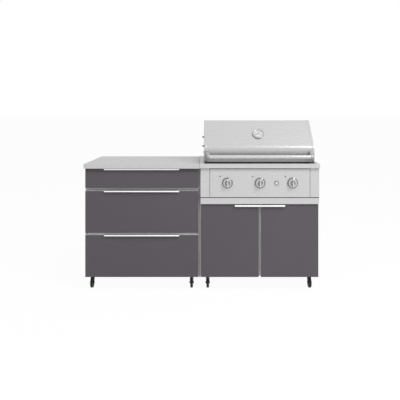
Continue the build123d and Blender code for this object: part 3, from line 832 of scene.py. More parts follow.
    def round_off(self, test: Test, radius: float, segments: int = 4) -> "Workpiece":
        """Rounds the edges that pass a test.

        Args:
            test: which edges.
            radius: how far they are rounded.
            segments: facets of the rounding.

        Returns:
            The workpiece itself.
        """
        self.open()
        self.pick(test, edges=True)
        bpy.ops.mesh.bevel(offset=radius, segments=segments, affect="EDGES")
        self.close()
        return self

    def soften(self, radius: float, segments: int = 2, angle: float = 40.0) -> "Workpiece":
        """Rounds every edge sharper than an angle with a bevel modifier.

        Args:
            radius: the width of the rounding.
            segments: its facets.
            angle: the angle, in degrees.

        Returns:
            The workpiece itself.
        """
        self.focus()
        bevel = self.piece.modifiers.new("soft_edges", "BEVEL")
        bevel.width = radius
        bevel.segments = segments
        bevel.limit_method = "ANGLE"
        bevel.angle_limit = math.radians(angle)
        bpy.ops.object.modifier_apply(modifier=bevel.name)
        return self

    def cut(self, point: Point, normal: Point) -> "Workpiece":
        """Cuts off what lies beyond a plane and closes the cut.

        Args:
            point: a point of the plane.
            normal: the plane's direction, towards what is cut off.

        Returns:
            The workpiece itself.
        """
        self.open()
        bpy.ops.mesh.select_all(action="SELECT")
        bpy.ops.mesh.bisect(plane_co=point, plane_no=normal, use_fill=True, clear_outer=True)
        self.close(mend=True)
        return self

    def place(self, matrix: Matrix) -> "Workpiece":
        """Moves the finished shape to its place, and keeps that in the mesh.

        Args:
            matrix: the place.

        Returns:
            The workpiece itself.
        """
        self.focus()
        self.piece.matrix_world = matrix
        bpy.ops.object.transform_apply(location=True, rotation=True, scale=True)
        return self

    def copy(self, name: str, shift: Point) -> "Workpiece":
        """Copies the piece with a mesh of its own.

        Args:
            name: what the copy is called.
            shift: how far the copy is from the piece.

        Returns:
            The copy.
        """
        self.focus()
        bpy.ops.object.duplicate(linked=False)
        twin = Workpiece(name)
        return twin.place(Matrix.Translation(shift))

    def join(self, others: Iterable["Workpiece"]) -> "Workpiece":
        """Takes other workpieces into this one.

        Args:
            others: the pieces to take in.

        Returns:
            The workpiece itself.
        """
        self.focus()
        for other in others:
            other.piece.select_set(True)
        bpy.ops.object.join()
        return self

    def repeat(self, spots: Sequence[Vector]) -> "Workpiece":
        """Takes in a copy of itself at each further spot.

        Args:
            spots: where the piece is, and then where its copies go.

        Returns:
            The workpiece itself.
        """
        name = f"{self.piece.name}_copy"
        return self.join([self.copy(name, spot - spots[0]) for spot in spots[1:]])

    def dress(
        self, body: str, finish: Finish, slot: str, replaces: Sequence[str] = (), smooth: float = 35.0
    ) -> "Workpiece":
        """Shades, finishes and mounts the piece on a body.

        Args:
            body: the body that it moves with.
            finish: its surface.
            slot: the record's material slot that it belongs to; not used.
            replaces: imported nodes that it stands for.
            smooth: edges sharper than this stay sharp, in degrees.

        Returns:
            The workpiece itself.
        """
        self.focus()
        bpy.ops.object.shade_smooth_by_angle(angle=math.radians(smooth))
        slots = self.piece.data.materials
        slots.clear()
        slots.append(finish.material())
        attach(self.piece, body)
        if replaces:
            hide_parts(*replaces)
        LOG.info("%s rides on %s in %s", self.piece.name, body, finish.name)
        return self

    def paint(self, finish: Finish, test: Test) -> "Workpiece":
        """Gives the faces that pass a test another finish.

        Args:
            finish: the other finish.
            test: which faces.

        Returns:
            The workpiece itself.
        """
        slots = self.piece.data.materials
        slots.append(finish.material())
        for face in self.piece.data.polygons:
            if test(face.center, face.normal):
                face.material_index = len(slots) - 1
        return self


PANEL_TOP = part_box("control_panel")[1].z
WORKTOP_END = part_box("drawer_countertop")[1].x
BETWEEN_RAILS = (0.5, 0.6)  # heights between the cabinet's lower and upper rail
FINE_GRAIN = 1400.0  # scratches per metre on small parts

# The fronts' edges are painted pale: painted light in the gaps between the fronts.
SLATE = CoatedPanel("slate_powder_coat", (0.092, 0.082, 0.094), 0.55)
# Painted shade: the control panel and the face frame grow darker over their top 28 mm, under the trim's lip.
PANEL_STEEL = GradedSteel(
    "panel_stainless", grey(0.59), 0.3, contrast=0.014, grain_depth=0.0022 * MM,
    axis="Z", start=PANEL_TOP - 28.0 * MM, end=PANEL_TOP, dull=0.74, upper=False,
)
# Painted shade: the worktop's upward faces grow darker over their last 72.5 mm, beside the hood.
WORKTOP_STEEL = GradedSteel(
    "worktop_stainless", grey(0.57), 0.3, glance=0.6,
    start=WORKTOP_END - 72.5 * MM, end=WORKTOP_END + 2.5 * MM, dull=0.78,
)
# Painted shade: the trim's upward faces are darker along its whole length.
TRIM_STEEL = GradedSteel(
    "trim_stainless", grey(0.6), 0.3, start=WORKTOP_END - 2.5 * MM, end=WORKTOP_END + 2.5 * MM
)
HOOD_STEEL = HoodSteel("hood_stainless", grey(0.53), 0.3)
SATIN_STEEL = BrushedSteel("satin_steel", grey(0.66), 0.28, grain_scale=FINE_GRAIN, contrast=0.03)
CARCASS_SHEET = BrushedSteel("carcass_sheet", (0.38, 0.38, 0.39), 0.42, grain=Grain.ALONG_Z, contrast=0.04)
# Painted light and shade: the rails are painted pale up to 0.5 m high and dark from 0.6 m, to set the tones in the
# gaps between the drawer fronts.
RAIL_SHEET = GradedSteel(
    "rail_sheet", (0.82, 0.82, 0.83), 0.42, axis="Z", start=BETWEEN_RAILS[0], end=BETWEEN_RAILS[1],
    dull=0.42, upper=False, sheen=0.3,
)
PULL_ALUMINIUM = BrushedSteel(
    "bright_aluminium", grey(0.99), 0.4, grain_scale=FINE_GRAIN, contrast=0.01, glance=1.0, sheen=0.5
)
# The pulls' top faces: a smoother, fully mirrored copy of the aluminium, darker in tone; the gloss is real, the
# darker tone is painted shade.
PULL_CREST = BrushedSteel("aluminium_crest", grey(0.8), 0.15, grain_scale=FINE_GRAIN, sheen=1.0)
HANDLE_STEEL = BrushedSteel("handle_steel", grey(0.59), 0.28, grain_scale=FINE_GRAIN, sheen=0.75)
# The brackets get a darker, rougher copy of the handle's steel; the darker tone is painted shade.
BRACKET_STEEL = BrushedSteel("bracket_steel", grey(0.4), 0.45, grain_scale=FINE_GRAIN)
# The knobs' bodies are a darker copy of the bars' satin steel: painted shade round the lit bars.
RING_STEEL = BrushedSteel("ring_steel", grey(0.52), 0.36, grain_scale=FINE_GRAIN)
GAUGE_STEEL = BrushedSteel("gauge_ring", grey(0.42), 0.42, grain_scale=FINE_GRAIN, sheen=0.8)
BEZEL_STEEL = BrushedSteel("bezel_steel", grey(0.34), 0.24, grain_scale=FINE_GRAIN, sheen=0.8)
PLATE_STEEL = BrushedSteel("bright_zinc", grey(0.8), 0.4, contrast=0.05, sheen=1.0)
# Painted shade in the knobs' hollows and on the lower part of the bezels' dishes.
HOLLOW_SHADE_STEEL = BrushedSteel("hollow_steel", grey(0.45), 0.45, grain_scale=FINE_GRAIN)
# Painted shade, near black, for the upper part of the bezels' dishes.
SHADE_STEEL = BrushedSteel("shade_steel", grey(0.1), 0.5, grain_scale=FINE_GRAIN)
ZINC_STEEL = BrushedSteel("zinc_steel", (0.46, 0.47, 0.48), 0.36, grain=Grain.ALONG_Y, contrast=0.08)
BLACK_COAT = PowderCoat("black_coated_steel", (0.012, 0.012, 0.013), 0.45)
# Dark oxide on the hood's studs; also painted shade in the groove of the gasket between the cabinets.
DARK_OXIDE_AND_SHADE = PowderCoat("dark_oxide", (0.05, 0.05, 0.052), 0.4, peel_scale=900.0)
TYRE_RUBBER = Rubber("black_rubber", (0.011, 0.011, 0.012), 0.7)
JOINT_GREY = Rubber("grey_bead", grey(0.4), 0.6, dust=(0.46, 0.46, 0.45))
HUB_PLASTIC = Rubber("black_plastic", (0.02, 0.02, 0.021), 0.5, dust=grey(0.035))
GRATE_IRON = CastIron("seasoned_iron", (0.03, 0.03, 0.031), 0.5)
BURNER_STEEL = HeatedSteel("heat_dulled_steel", (0.38, 0.37, 0.36), 0.45)
DIAL_ENAMEL = Enamel("pale_dial", (0.5, 0.5, 0.48), 0.5)
BLACK_PRINT = Enamel("black_print", (0.02, 0.02, 0.022), 0.5, edge_radius=0.05 * MM)
NEEDLE_RED = Enamel("red_needle", (0.36, 0.03, 0.03), 0.4, edge_radius=0.1 * MM)
WINDOW_GLASS = ClearGlass("window_glass", (0.95, 0.96, 0.97), 0.05)


def joint_place(name: str) -> Vector:
    """The point that a joint turns about, at rest."""
    return Vector(JOINTS[name]["pos_m"])


def arc(centre: Point, radius: float, start: float, end: float, steps: int) -> List[Tuple[float, float]]:
    """Points round part of a circle.

    Args:
        centre: the circle's middle, in the plane.
        radius: its radius.
        start: the first point's angle, in degrees.
        end: the last point's angle, in degrees.
        steps: how many parts the way is divided into.

    Returns:
        The points, in order.
    """
    angles = [math.radians(start + (end - start) * step / steps) for step in range(steps + 1)]
    return [(centre[0] + radius * math.cos(a), centre[1] + radius * math.sin(a)) for a in angles]


def rounded(
    corners: Sequence[Tuple[float, float]], radii: Sequence[float], steps: int = 8
) -> List[Tuple[float, float]]:
    """A path whose inner corners are rounded.

    Args:
        corners: the path's corners, in the plane.
        radii: the radius at each corner but the first and the last.
        steps: how many parts each rounding is divided into.

    Returns:
        The path's points, in order.
    """
    path = [corners[0]]
    for before, corner, after, radius in zip(corners, corners[1:], corners[2:], radii):
        first, second, third = Vector(before), Vector(corner), Vector(after)
        there, onward = (second - first).normalized(), (third - second).normalized()
        turn = there.angle(onward)
        hand = math.copysign(1.0, there.cross(onward))
        spoke = Vector((there.y, -there.x)) * hand * radius
        centre = second - there * radius * math.tan(turn / 2) - spoke
        for step in range(steps + 1):
            swing = Matrix.Rotation(hand * turn * step / steps, 2)
            path.append(tuple(centre + swing @ spoke))
    return [*path, corners[-1]]


def shifted(path: Sequence[Tuple[float, float]], distance: float) -> List[Tuple[float, float]]:
    """A path moved sideways, to its left.

    Args:
        path: the points, in the plane.
        distance: how far it moves.

    Returns:
        The moved points.
    """
    moved = []
    for index, point in enumerate(path):
        way = Vector(path[min(index + 1, len(path) - 1)]) - Vector(path[max(index - 1, 0)])
        way.normalize()
        moved.append((point[0] - way.y * distance, point[1] + way.x * distance))
    return moved


def channel(
    front: float, back: float, crest: float, sheet: float, lip: float, leg: float
) -> List[Tuple[float, float]]:
    """The section of a bent strip with a lip in front and a leg behind.

    Args:
        front: where its front lies.
        back: where its back lies.
        crest: the height of its top.
        sheet: its thickness.
        lip: the height of the lip.
        leg: the height of the leg.

    Returns:
        Its corners, along Y and Z.
    """
    under, lip_foot, leg_foot = crest - sheet, crest - lip, crest - leg
    return [
        (front, crest), (back, crest), (back, leg_foot), (back - sheet, leg_foot), (back - sheet, under),
        (front + sheet, under), (front + sheet, lip_foot), (front, lip_foot),
    ]


@dataclass
class CabinetPair:
    """The two folded-sheet cabinets, their fronts, runners and caster plates, and the rivets of their back panels.

    Attributes:
        rivet_r: radius of a rivet's head.
        rivet_h: height of its head.
        rivet_inset: its distance from the panel's edge.
        rivet_pitch: the distance between two rivets, at most.
    """

    rivet_r: float = 3.4 * MM
    rivet_h: float = 1.5 * MM
    rivet_inset: float = 9.0 * MM
    rivet_pitch: float = 110.0 * MM

    def dress(self) -> None:
        """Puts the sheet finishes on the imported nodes."""
        CARCASS_SHEET.on(
            "drawer_cabinet_sides", "drawer_cabinet_back", "drawer_cabinet_base",
            "grill_cabinet_sides", "grill_cabinet_back", "grill_cabinet_base",
        )
        RAIL_SHEET.on("drawer_cabinet_rails")
        PANEL_STEEL.on("control_panel", "grill_face_frame")
        TRIM_STEEL.on("grill_top_trim")
        WORKTOP_STEEL.on("drawer_countertop")
        ZINC_STEEL.on("runner_outer_members", "door_hinge_arms")
        PLATE_STEEL.on("caster_plates")
        SLATE.on("door_left", "door_right")
        for place in DrawerPlace:
            SLATE.on(f"drawer_front_{place.value}")
            CARCASS_SHEET.on(f"drawer_box_{place.value}")
            ZINC_STEEL.on(f"runner_middle_{place.value}")

    def rivet_spots(self, low: Vector, high: Vector) -> List[Vector]:
        """Where the rivets of a back panel sit.

        Args:
            low: the panel's lowest corner.
            high: the panel's highest corner.

        Returns:
            Spots on the panel's rear face, along its four edges.
        """
        spans = []
        for start, end in ((low.x, high.x), (low.z, high.z)):
            first, last = start + self.rivet_inset, end - self.rivet_inset
            count = math.ceil((last - first) / self.rivet_pitch)
            spans.append([first + (last - first) * step / count for step in range(count + 1)])
        across, up = spans
        spots = [Vector((x, high.y, z)) for x in across for z in (up[0], up[-1])]
        return spots + [Vector((x, high.y, z)) for z in up[1:-1] for x in (across[0], across[-1])]

    def build_rivets(self, panel: str) -> Workpiece:
        """Rivets a back panel.

        Args:
            panel: the panel's node.

        Returns:
            All its rivets as one piece.
        """
        r, h = self.rivet_r, self.rivet_h
        dome = [(0.0, -h / 2), (r, -h / 2), (r, 0.25 * h), (0.9 * r, 0.6 * h), (0.6 * r, 0.9 * h), (0.0, h)]
        spots = self.rivet_spots(*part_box(panel))
        rivets = Workpiece.turned(f"{panel}_rivets", dome, spots[0], (0.0, 1.0, 0.0), steps=16)
        return rivets.repeat(spots).dress("kitchen", ZINC_STEEL, "runner_steel")

    def build(self) -> None:
        """Finishes the cabinets and rivets their backs."""
        self.dress()
        for cabinet in ("drawer", "grill"):
            self.build_rivets(f"{cabinet}_cabinet_back")


@dataclass
class EdgePull:
    """A bent strip over a drawer front's top edge, with a finger lip.

    Attributes:
        node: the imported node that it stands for.
        body: the body that it moves with.
        sheet: the strip's thickness.
        lip: the height of its lip.
        corner: the radius of the lip's lower corners.
        bend: the radius of its outer bends.
        edge: the softening of its cut edges.
    """

    node: str
    body: str
    sheet: float = 2.0 * MM
    lip: float = 8.8 * MM
    corner: float = 1.2 * MM
    bend: float = 1.5 * MM
    edge: float = 0.3 * MM

    def build(self) -> Workpiece:
        """Bends the strip.

        Returns:
            The finished pull.
        """
        low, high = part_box(self.node)
        front, crest = low.y, high.z
        lip_foot = crest - self.lip
        outline = channel(front, high.y, crest, self.sheet, self.lip, crest - low.z)
        strip = Workpiece.along_x(f"{self.node}_strip", outline, low.x, high.x)
        strip.round_off(
            lambda mid, way: abs(way.y) > STRAIGHT and abs(mid.z - lip_foot) < HAIR and mid.y < front + self.sheet,
            self.corner, 3,
        )
        strip.round_off(lambda mid, way: abs(way.x) > STRAIGHT and abs(mid.z - crest) < HAIR, self.bend, 3)
        strip.soften(self.edge).dress(self.body, PULL_ALUMINIUM, "pull_metal", [self.node])
        # Painted shade: the top face gets the darker, mirrored copy of the aluminium.
        return strip.paint(PULL_CREST, lambda mid, normal: normal.z > STRAIGHT and crest - mid.z < HAIR)


@dataclass
class FacePull:
    """A channel strip on a door's face, open downwards: square at the doors' meeting edge, round at the other end.

    Attributes:
        side: which door.
        sheet: the strip's thickness.
        lip: the height of its lip.
        leg: the height of the leg on the door.
        bend: the radius of its outer bends.
        edge: the softening of its cut edges.
        facets: facets of the round end.
    """

    side: Side
    sheet: float = 2.0 * MM
    lip: float = 11.3 * MM
    leg: float = 9.3 * MM
    bend: float = 1.2 * MM
    edge: float = 0.3 * MM
    facets: int = 9

    def build(self) -> Workpiece:
        """Folds the strip and rounds its outer end.

        Returns:
            The finished pull.
        """
        door = f"door_{self.side.name.lower()}"
        node = f"door_pull_{self.side.name.lower()}"
        low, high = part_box(node)
        front, back, crest = low.y, high.y, high.z
        outline = channel(front, back, crest, self.sheet, self.lip, self.leg)
        strip = Workpiece.along_x(f"{node}_strip", outline, low.x, high.x)
        strip.round_off(
            lambda mid, way: abs(way.x) > STRAIGHT and abs(mid.z - crest) < HAIR and mid.y < back - HAIR, self.bend, 3
        )
        r = self.lip / 2
        outer = high.x if self.side is Side.RIGHT else low.x
        centre = Vector((outer - self.side.value * r, front, crest - r))
        for step in range(self.facets):
            angle = math.radians(180.0 * (step + 0.5) / self.facets - 90.0)
            away = Vector((self.side.value * math.cos(angle), 0.0, math.sin(angle)))
            strip.cut(centre + away * r, away)
        strip.soften(self.edge).dress(door, PULL_ALUMINIUM, "pull_metal", [node])
        # Painted shade: the top face gets the darker, mirrored copy of the aluminium.
        return strip.paint(PULL_CREST, lambda mid, normal: normal.z > STRAIGHT and crest - mid.z < HAIR)


@dataclass
class JointSeals:
    """Dark seals round the control panel, which stand for the shade in its joints, gaskets on the cabinets' front
    edges, and the bead between the worktops.

    Attributes:
        depth: how far a seal goes back.
        foot_gap: height of the joint under the panel.
        side_gap: width of the joints beside it.
        lap: how far a seal laps over each edge of its joint.
        proud: how far it stands off the panel's face.
        crest: height of the dark seal along the panel's top edge, painted shade under the trim's lip.
        gasket: thickness of the gaskets behind the doors and between the cabinets.
        door_rim: how much of the doors' gasket lies beside its groove.
        door_lap: how far that gasket laps behind each door.
        door_end: how far its ends lie inside the doors' opening.
        cabinet_rim: how much of the gasket between the cabinets lies beside its groove.
        cabinet_end: how far its top lies under the worktop.
        hang: how far it hangs below the fronts.
        side_play: space between it and the fronts beside it.
        bead: thickness of the bead.
        bead_play: space between the bead and the worktops.
        sink: how far the bead lies below the worktop.
        lip: height of the worktop's folded lip.
        post_gap: space between a closed door and the post behind it.
    """

    depth: float = 6.0 * MM
    foot_gap: float = 5.0 * MM
    side_gap: float = 1.8 * MM
    lap: float = 0.5 * MM
    proud: float = 0.3 * MM
    crest: float = 3.3 * MM
    gasket: float = 2.6 * MM
    door_rim: float = 0.3
    door_lap: float = 10.0 * MM
    door_end: float = 3.0 * MM
    cabinet_rim: float = 0.72
    cabinet_end: float = 2.0 * MM
    hang: float = 7.2 * MM
    side_play: float = 1.0 * MM
    bead: float = 5.0 * MM
    bead_play: float = 0.05 * MM
    sink: float = 1.2 * MM
    lip: float = 30.0 * MM
    post_gap: float = 4.0 * MM

    def strip(self, low: Point, high: Point) -> Workpiece:
        """Shapes one seal, with a rounded front.

        Args:
            low: its lowest corner.
            high: its highest corner.

        Returns:
            The seal.
        """
        size = Vector(high) - Vector(low)
        along = max(range(3), key=lambda axis: size[axis])
        work = Workpiece.block("panel_seals", low, high)
        return work.round_off(
            lambda mid, way: abs(way[along]) > STRAIGHT and abs(mid.y - low[1]) < HAIR, 0.18 * min(size), 3
        )

    def build_seals(self) -> Workpiece:
        """Lays dark seals under the panel, on both sides of it and along its top, as painted shade in its joints.

        Returns:
            The seals as one piece.
        """
        low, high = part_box("control_panel")
        frame_low, frame_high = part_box("grill_face_frame")
        lap, front, back = self.lap, low.y - self.proud, low.y + self.depth
        # Painted shade: black seals fill the joints round the panel and lie along its top edge.
        foot = self.strip(
            (frame_low.x + MM, front, low.z - self.foot_gap - lap), (frame_high.x - MM, back, low.z + lap)
        )
        sides = [
            self.strip((start - lap, front, low.z), (start + self.side_gap + lap, back, high.z))
            for start in (low.x - self.side_gap, high.x)
        ]
        crest = self.strip((low.x, front, high.z - self.crest), (high.x, low.y + self.depth / 2, high.z + MM))
        return foot.join([*sides, crest]).dress("kitchen", TYRE_RUBBER, "caster_rubber")

    def build_gasket(
        self, name: str, sides: Tuple[float, float], ends: Tuple[float, float], rim: float,
        groove_shade: Optional[Finish] = None,
    ) -> Workpiece:
        """Lays a gasket on the cabinets' front edges, with a groove along its middle.

        Args:
            name: what the piece is called.
            sides: where its sides lie along X.
            ends: the heights of its ends.
            rim: how much of its width lies beside the groove.
            groove_shade: the finish painted on the groove's bed as painted shade, where it is another.

        Returns:
            The gasket.
        """
        face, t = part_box("door_left")[1].y + self.post_gap, self.gasket
        middle, half = sum(sides) / 2, (sides[1] - sides[0]) / 2
        strip = Workpiece.block(name, (sides[0], face - t, ends[0]), (sides[1], face, ends[1]))

        def groove(mid: Vector, normal: Vector) -> bool:
            """Whether a face is the groove's bed."""
            return normal.y < -STRAIGHT and abs(mid.x - middle) < HAIR and ends[0] + half < mid.z < ends[1] - half

        strip.inset(lambda mid, normal: normal.y < -STRAIGHT, rim * half)
        strip.inset(groove, 0.1 * half, -0.4 * t)
        strip.soften(0.2 * t).dress("kitchen", JOINT_GREY, "caster_rubber")
        return strip.paint(groove_shade, groove) if groove_shade else strip

    def build_gaskets(self) -> None:
        """Lays one gasket behind the doors' meeting edges, and one between the two cabinets."""
        left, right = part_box("door_left"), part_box("door_right")
        drawer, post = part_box("drawer_front_bottom"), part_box("grill_face_frame")[0].z
        self.build_gasket(
            "door_gasket", (left[1].x - self.door_lap, right[0].x + self.door_lap),
            (post + self.door_end, left[1].z - self.door_end), self.door_rim,
        )
        # Painted shade: the gasket between the cabinets closes the seam, and its groove is painted near black.
        self.build_gasket(
            "cabinet_gasket", (drawer[1].x + self.side_play, left[0].x - self.side_play),
            (drawer[0].z - self.hang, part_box("drawer_countertop")[0].z - self.cabinet_end),
            self.cabinet_rim, DARK_OXIDE_AND_SHADE,
        )

    def build_bead(self) -> Workpiece:
        """Runs the bead along the slot between the worktops and down its front.

        Returns:
            The bead.
        """
        low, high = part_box("drawer_countertop")
        start, end = high.x + self.bead_play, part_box("grill_top_trim")[0].x - self.bead_play
        front, back, top = low.y + self.sink, high.y - self.sink, high.z - self.sink
        outline = [
            (front, high.z - self.lip), (front, top), (back, top), (back, top - self.bead),
            (front + self.bead, top - self.bead), (front + self.bead, high.z - self.lip),
        ]
        bead = Workpiece.along_x("worktop_bead", outline, start, end)
        bead.round_off(lambda mid, way: abs(way.x) > STRAIGHT and abs(mid.z - top) + abs(mid.y - front) < HAIR, MM, 3)
        return bead.dress("kitchen", JOINT_GREY, "caster_rubber")

    def build(self) -> None:
        """Lays the seals, the gaskets and the bead."""
        self.build_seals()
        self.build_gaskets()
        self.build_bead()


@dataclass
class ControlPanel:
    """The panel's knobs with their bezels, the ignition button, and the plain marks by the knobs.

    Attributes:
        knob_r: radius of a knob's skirt.
        knob_body: depth of its round body.
        grip: width, depth and end inset of its bar.
        hollow: height of the hollows' floor, as a share of the body's depth.
        stem_r: radius of its stem.
        bezel_r: radius of a knob's bezel.
        bezel_t: thickness of the bezel.
        dish: depth of the dish in the bezel.
        hole_play: space between a stem and the hole in its bezel.
        button_r: radius of the button's cap.
        button_cap: depth of the cap.
        button_shank: radius of the shank behind it.
        button_play: space between the cap and its bezel.
        button_bezel_r: radius of the button's bezel.
        button_bezel_t: thickness of that bezel.
        pointer: half width of a knob's pointer, and its distance from the bar's end and from the middle.
        mark_r: distance of a mark from the knob's middle.
        mark_angle: where the off mark stands, anticlockwise from the right, in degrees.
        dot_r: radius of a mark.
        print_t: thickness of the print.
    """

    knob_r: float = 31.0 * MM
    knob_body: float = 14.0 * MM
    grip: Tuple[float, float, float] = (10.0 * MM, 16.0 * MM, 3.5 * MM)
    hollow: float = 0.4
    stem_r: float = 4.0 * MM
    bezel_r: float = 39.0 * MM
    bezel_t: float = 5.0 * MM
    dish: float = 2.6 * MM
    hole_play: float = 1.5 * MM
    button_r: float = 11.0 * MM
    button_cap: float = 5.5 * MM
    button_shank: float = 8.0 * MM
    button_play: float = 0.3 * MM
    button_bezel_r: float = 17.0 * MM
    button_bezel_t: float = 4.0 * MM
    pointer: Tuple[float, float] = (0.9 * MM, 4.0 * MM)
    mark_r: float = 68.0 * MM
    mark_angle: float = 137.5
    dot_r: float = 4.4 * MM
    print_t: float = 0.15 * MM

    def bezel(self, name: str, centre: Point, radius: float, hole: float, thickness: float) -> Workpiece:
        """Turns a bezel: a rounded rim round a shallow dish.

        Args:
            name: what the piece is called.
            centre: the middle of its back, on the panel.
            radius: its outer radius.
            hole: the radius of its hole.
            thickness: how far it stands off the panel.

        Returns:
            The turned ring.
        """
        t, rim = thickness, 0.14 * radius
        profile = [
            (hole, 0.0), (radius, 0.0), (radius, 0.24 * t), (radius - 0.2 * rim, 0.56 * t),
            (radius - 0.52 * rim, 0.84 * t), (radius - 0.82 * rim, t), (radius - rim, 0.98 * t),
            (radius - 1.08 * rim, t - self.dish), (hole, t - self.dish), (hole, 0.0),
        ]
        return Workpiece.turned(name, profile, centre, FORWARD, steps=64)

    def build_bezels(self) -> Workpiece:
        """Turns the four bezels.

        Returns:
            The bezels as one piece.
        """
        spots = [joint_place(f"knob_{place.value}_turn") for place in KnobPlace]
        hole = self.stem_r + self.hole_play
        rings = self.bezel("knob_bezel_rings", spots[0], self.bezel_r, hole, self.bezel_t).repeat(spots)
        low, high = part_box("ignition_button")
        button_spot = Vector(((low.x + high.x) / 2, spots[0].y, (low.z + high.z) / 2))
        button_hole = self.button_r + self.button_play
        button = self.bezel("button_bezel", button_spot, self.button_bezel_r, button_hole, self.button_bezel_t)
        rings.join([button]).dress("kitchen", BEZEL_STEEL, "stainless", ["knob_bezels"])
        # Painted shade: each bezel's dish is painted mid grey, and its upper part near black.
        dish = spots[0].y - self.bezel_t + self.dish
        rings.paint(HOLLOW_SHADE_STEEL, lambda mid, normal: normal.y < -STRAIGHT and abs(mid.y - dish) < HAIR)
        inner = self.bezel_r - 0.16 * self.bezel_r
        return rings.paint(SHADE_STEEL, lambda mid, normal: any(
            mid.z > spot.z - 0.3 * inner and math.hypot(mid.x - spot.x, mid.z - spot.z) < inner for spot in spots
        ))

    def build_knob(self, place: KnobPlace) -> Workpiece:
        """Models a knob: a turned body with a rounded bar across it and a hollow on each side.

        Args:
            place: which knob.

        Returns:
            The knob, with its bar.
        """
        node = f"knob_{place.value}"
        low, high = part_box(node)
        centre = joint_place(f"{node}_turn")
        width, depth, inset = self.grip
        face = low.y + depth
        back = face + self.knob_body
        r, h, stem = self.knob_r, self.knob_body, high.y - back
        floor = self.hollow * h
        profile = [
            (0.0, -stem), (self.stem_r, -stem), (self.stem_r, 0.0), (0.95 * r, 0.0), (r, 0.1 * h), (r, 0.3 * h),
            (0.965 * r, 0.36 * h), (0.965 * r, 0.42 * h), (0.985 * r, 0.48 * h), (0.96 * r, 0.86 * h),
            (0.93 * r, 0.96 * h), (0.88 * r, h), (0.6 * r, h), (0.57 * r, 0.97 * h), (0.5 * r, floor + 0.1 * h),
            (0.44 * r, floor), (0.0, floor),
        ]
        body = Workpiece.turned(f"{node}_turned", profile, (centre.x, back, centre.z), FORWARD, steps=64)
        reach = r - inset
        bar = Workpiece.block(
            f"{node}_bar",
            (centre.x - width / 2, low.y, centre.z - reach),
            (centre.x + width / 2, back - floor + 0.5 * MM, centre.z + reach),
        )
        bar.round_off(lambda mid, way: abs(way.y) > STRAIGHT, 0.48 * width, 6)
        bar.taper(lambda mid, normal: normal.y < -STRAIGHT, (0.86, 1.0, 0.97))
        bar.soften(1.6 * MM, 3, 50.0)
        # Painted shade: the body is a darker copy of the bar's steel, and the hollows' floor is darker again.
        knob = body.join([bar]).dress(node, RING_STEEL, "stainless", [node])
        knob.paint(SATIN_STEEL, lambda mid, normal: mid.y < face - HAIR)
        return knob.paint(HOLLOW_SHADE_STEEL, lambda mid, normal: normal.y < -STRAIGHT and abs(mid.y - back + floor) < HAIR)

    def build_pointer(self, place: KnobPlace) -> Workpiece:
        """Inlays the pointer in a knob's bar.

        Args:
            place: which knob.

        Returns:
            The pointer.
        """
        node = f"knob_{place.value}"
        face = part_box(node)[0].y
        centre = joint_place(f"{node}_turn")
        half, gap = self.pointer
        top = centre.z + self.knob_r - self.grip[2] - gap
        line = Workpiece.block(
            f"{node}_pointer", (centre.x - half, face - self.print_t, centre.z + gap),
            (centre.x + half, face + self.print_t, top),
        )
        line.taper(lambda mid, normal: normal.z > STRAIGHT, (0.6, 1.0, 1.0))
        return line.dress(node, BLACK_PRINT, "stud_metal")

    def build_button(self) -> Workpiece:
        """Turns the ignition button, with a finger hollow in its cap.

        Returns:
            The button.
        """
        low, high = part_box("ignition_button")
        r, cap, shank = self.button_r, self.button_cap, self.button_shank
        back = low.y + cap
        profile = [
            (0.0, back - high.y), (shank, back - high.y), (shank, 0.0), (r, 0.0), (r, 0.78 * cap),
            (0.96 * r, 0.92 * cap), (0.86 * r, cap), (0.72 * r, 0.97 * cap), (0.4 * r, 0.88 * cap), (0.0, 0.85 * cap),
        ]
        centre = ((low.x + high.x) / 2, back, (low.z + high.z) / 2)
        button = Workpiece.turned("ignition_button_cap", profile, centre, FORWARD)
        return button.dress("ignition_button", SATIN_STEEL, "stainless", ["ignition_button"])

    def build_marks(self) -> Workpiece:
        """Prints a plain mark at each knob's off place.

        Returns:
            The marks as one piece.
        """
        r, t = self.dot_r, self.print_t
        dome = [(0.0, -t), (r, -t), (r, 0.4 * t), (0.8 * r, t), (0.0, t)]
        angle = math.radians(self.mark_angle)
        away = Vector((math.cos(angle), 0.0, math.sin(angle))) * self.mark_r
        spots = [joint_place(f"knob_{place.value}_turn") + away for place in KnobPlace]
        marks = Workpiece.turned("panel_mark_left", dome, spots[0], FORWARD, steps=24)
        return marks.repeat(spots).dress("kitchen", BLACK_PRINT, "stud_metal")

    def build(self) -> None:
        """Builds the panel's pieces."""
        self.build_bezels()
        self.build_button()
        self.build_marks()
        for place in KnobPlace:
            self.build_knob(place)
            self.build_pointer(place)


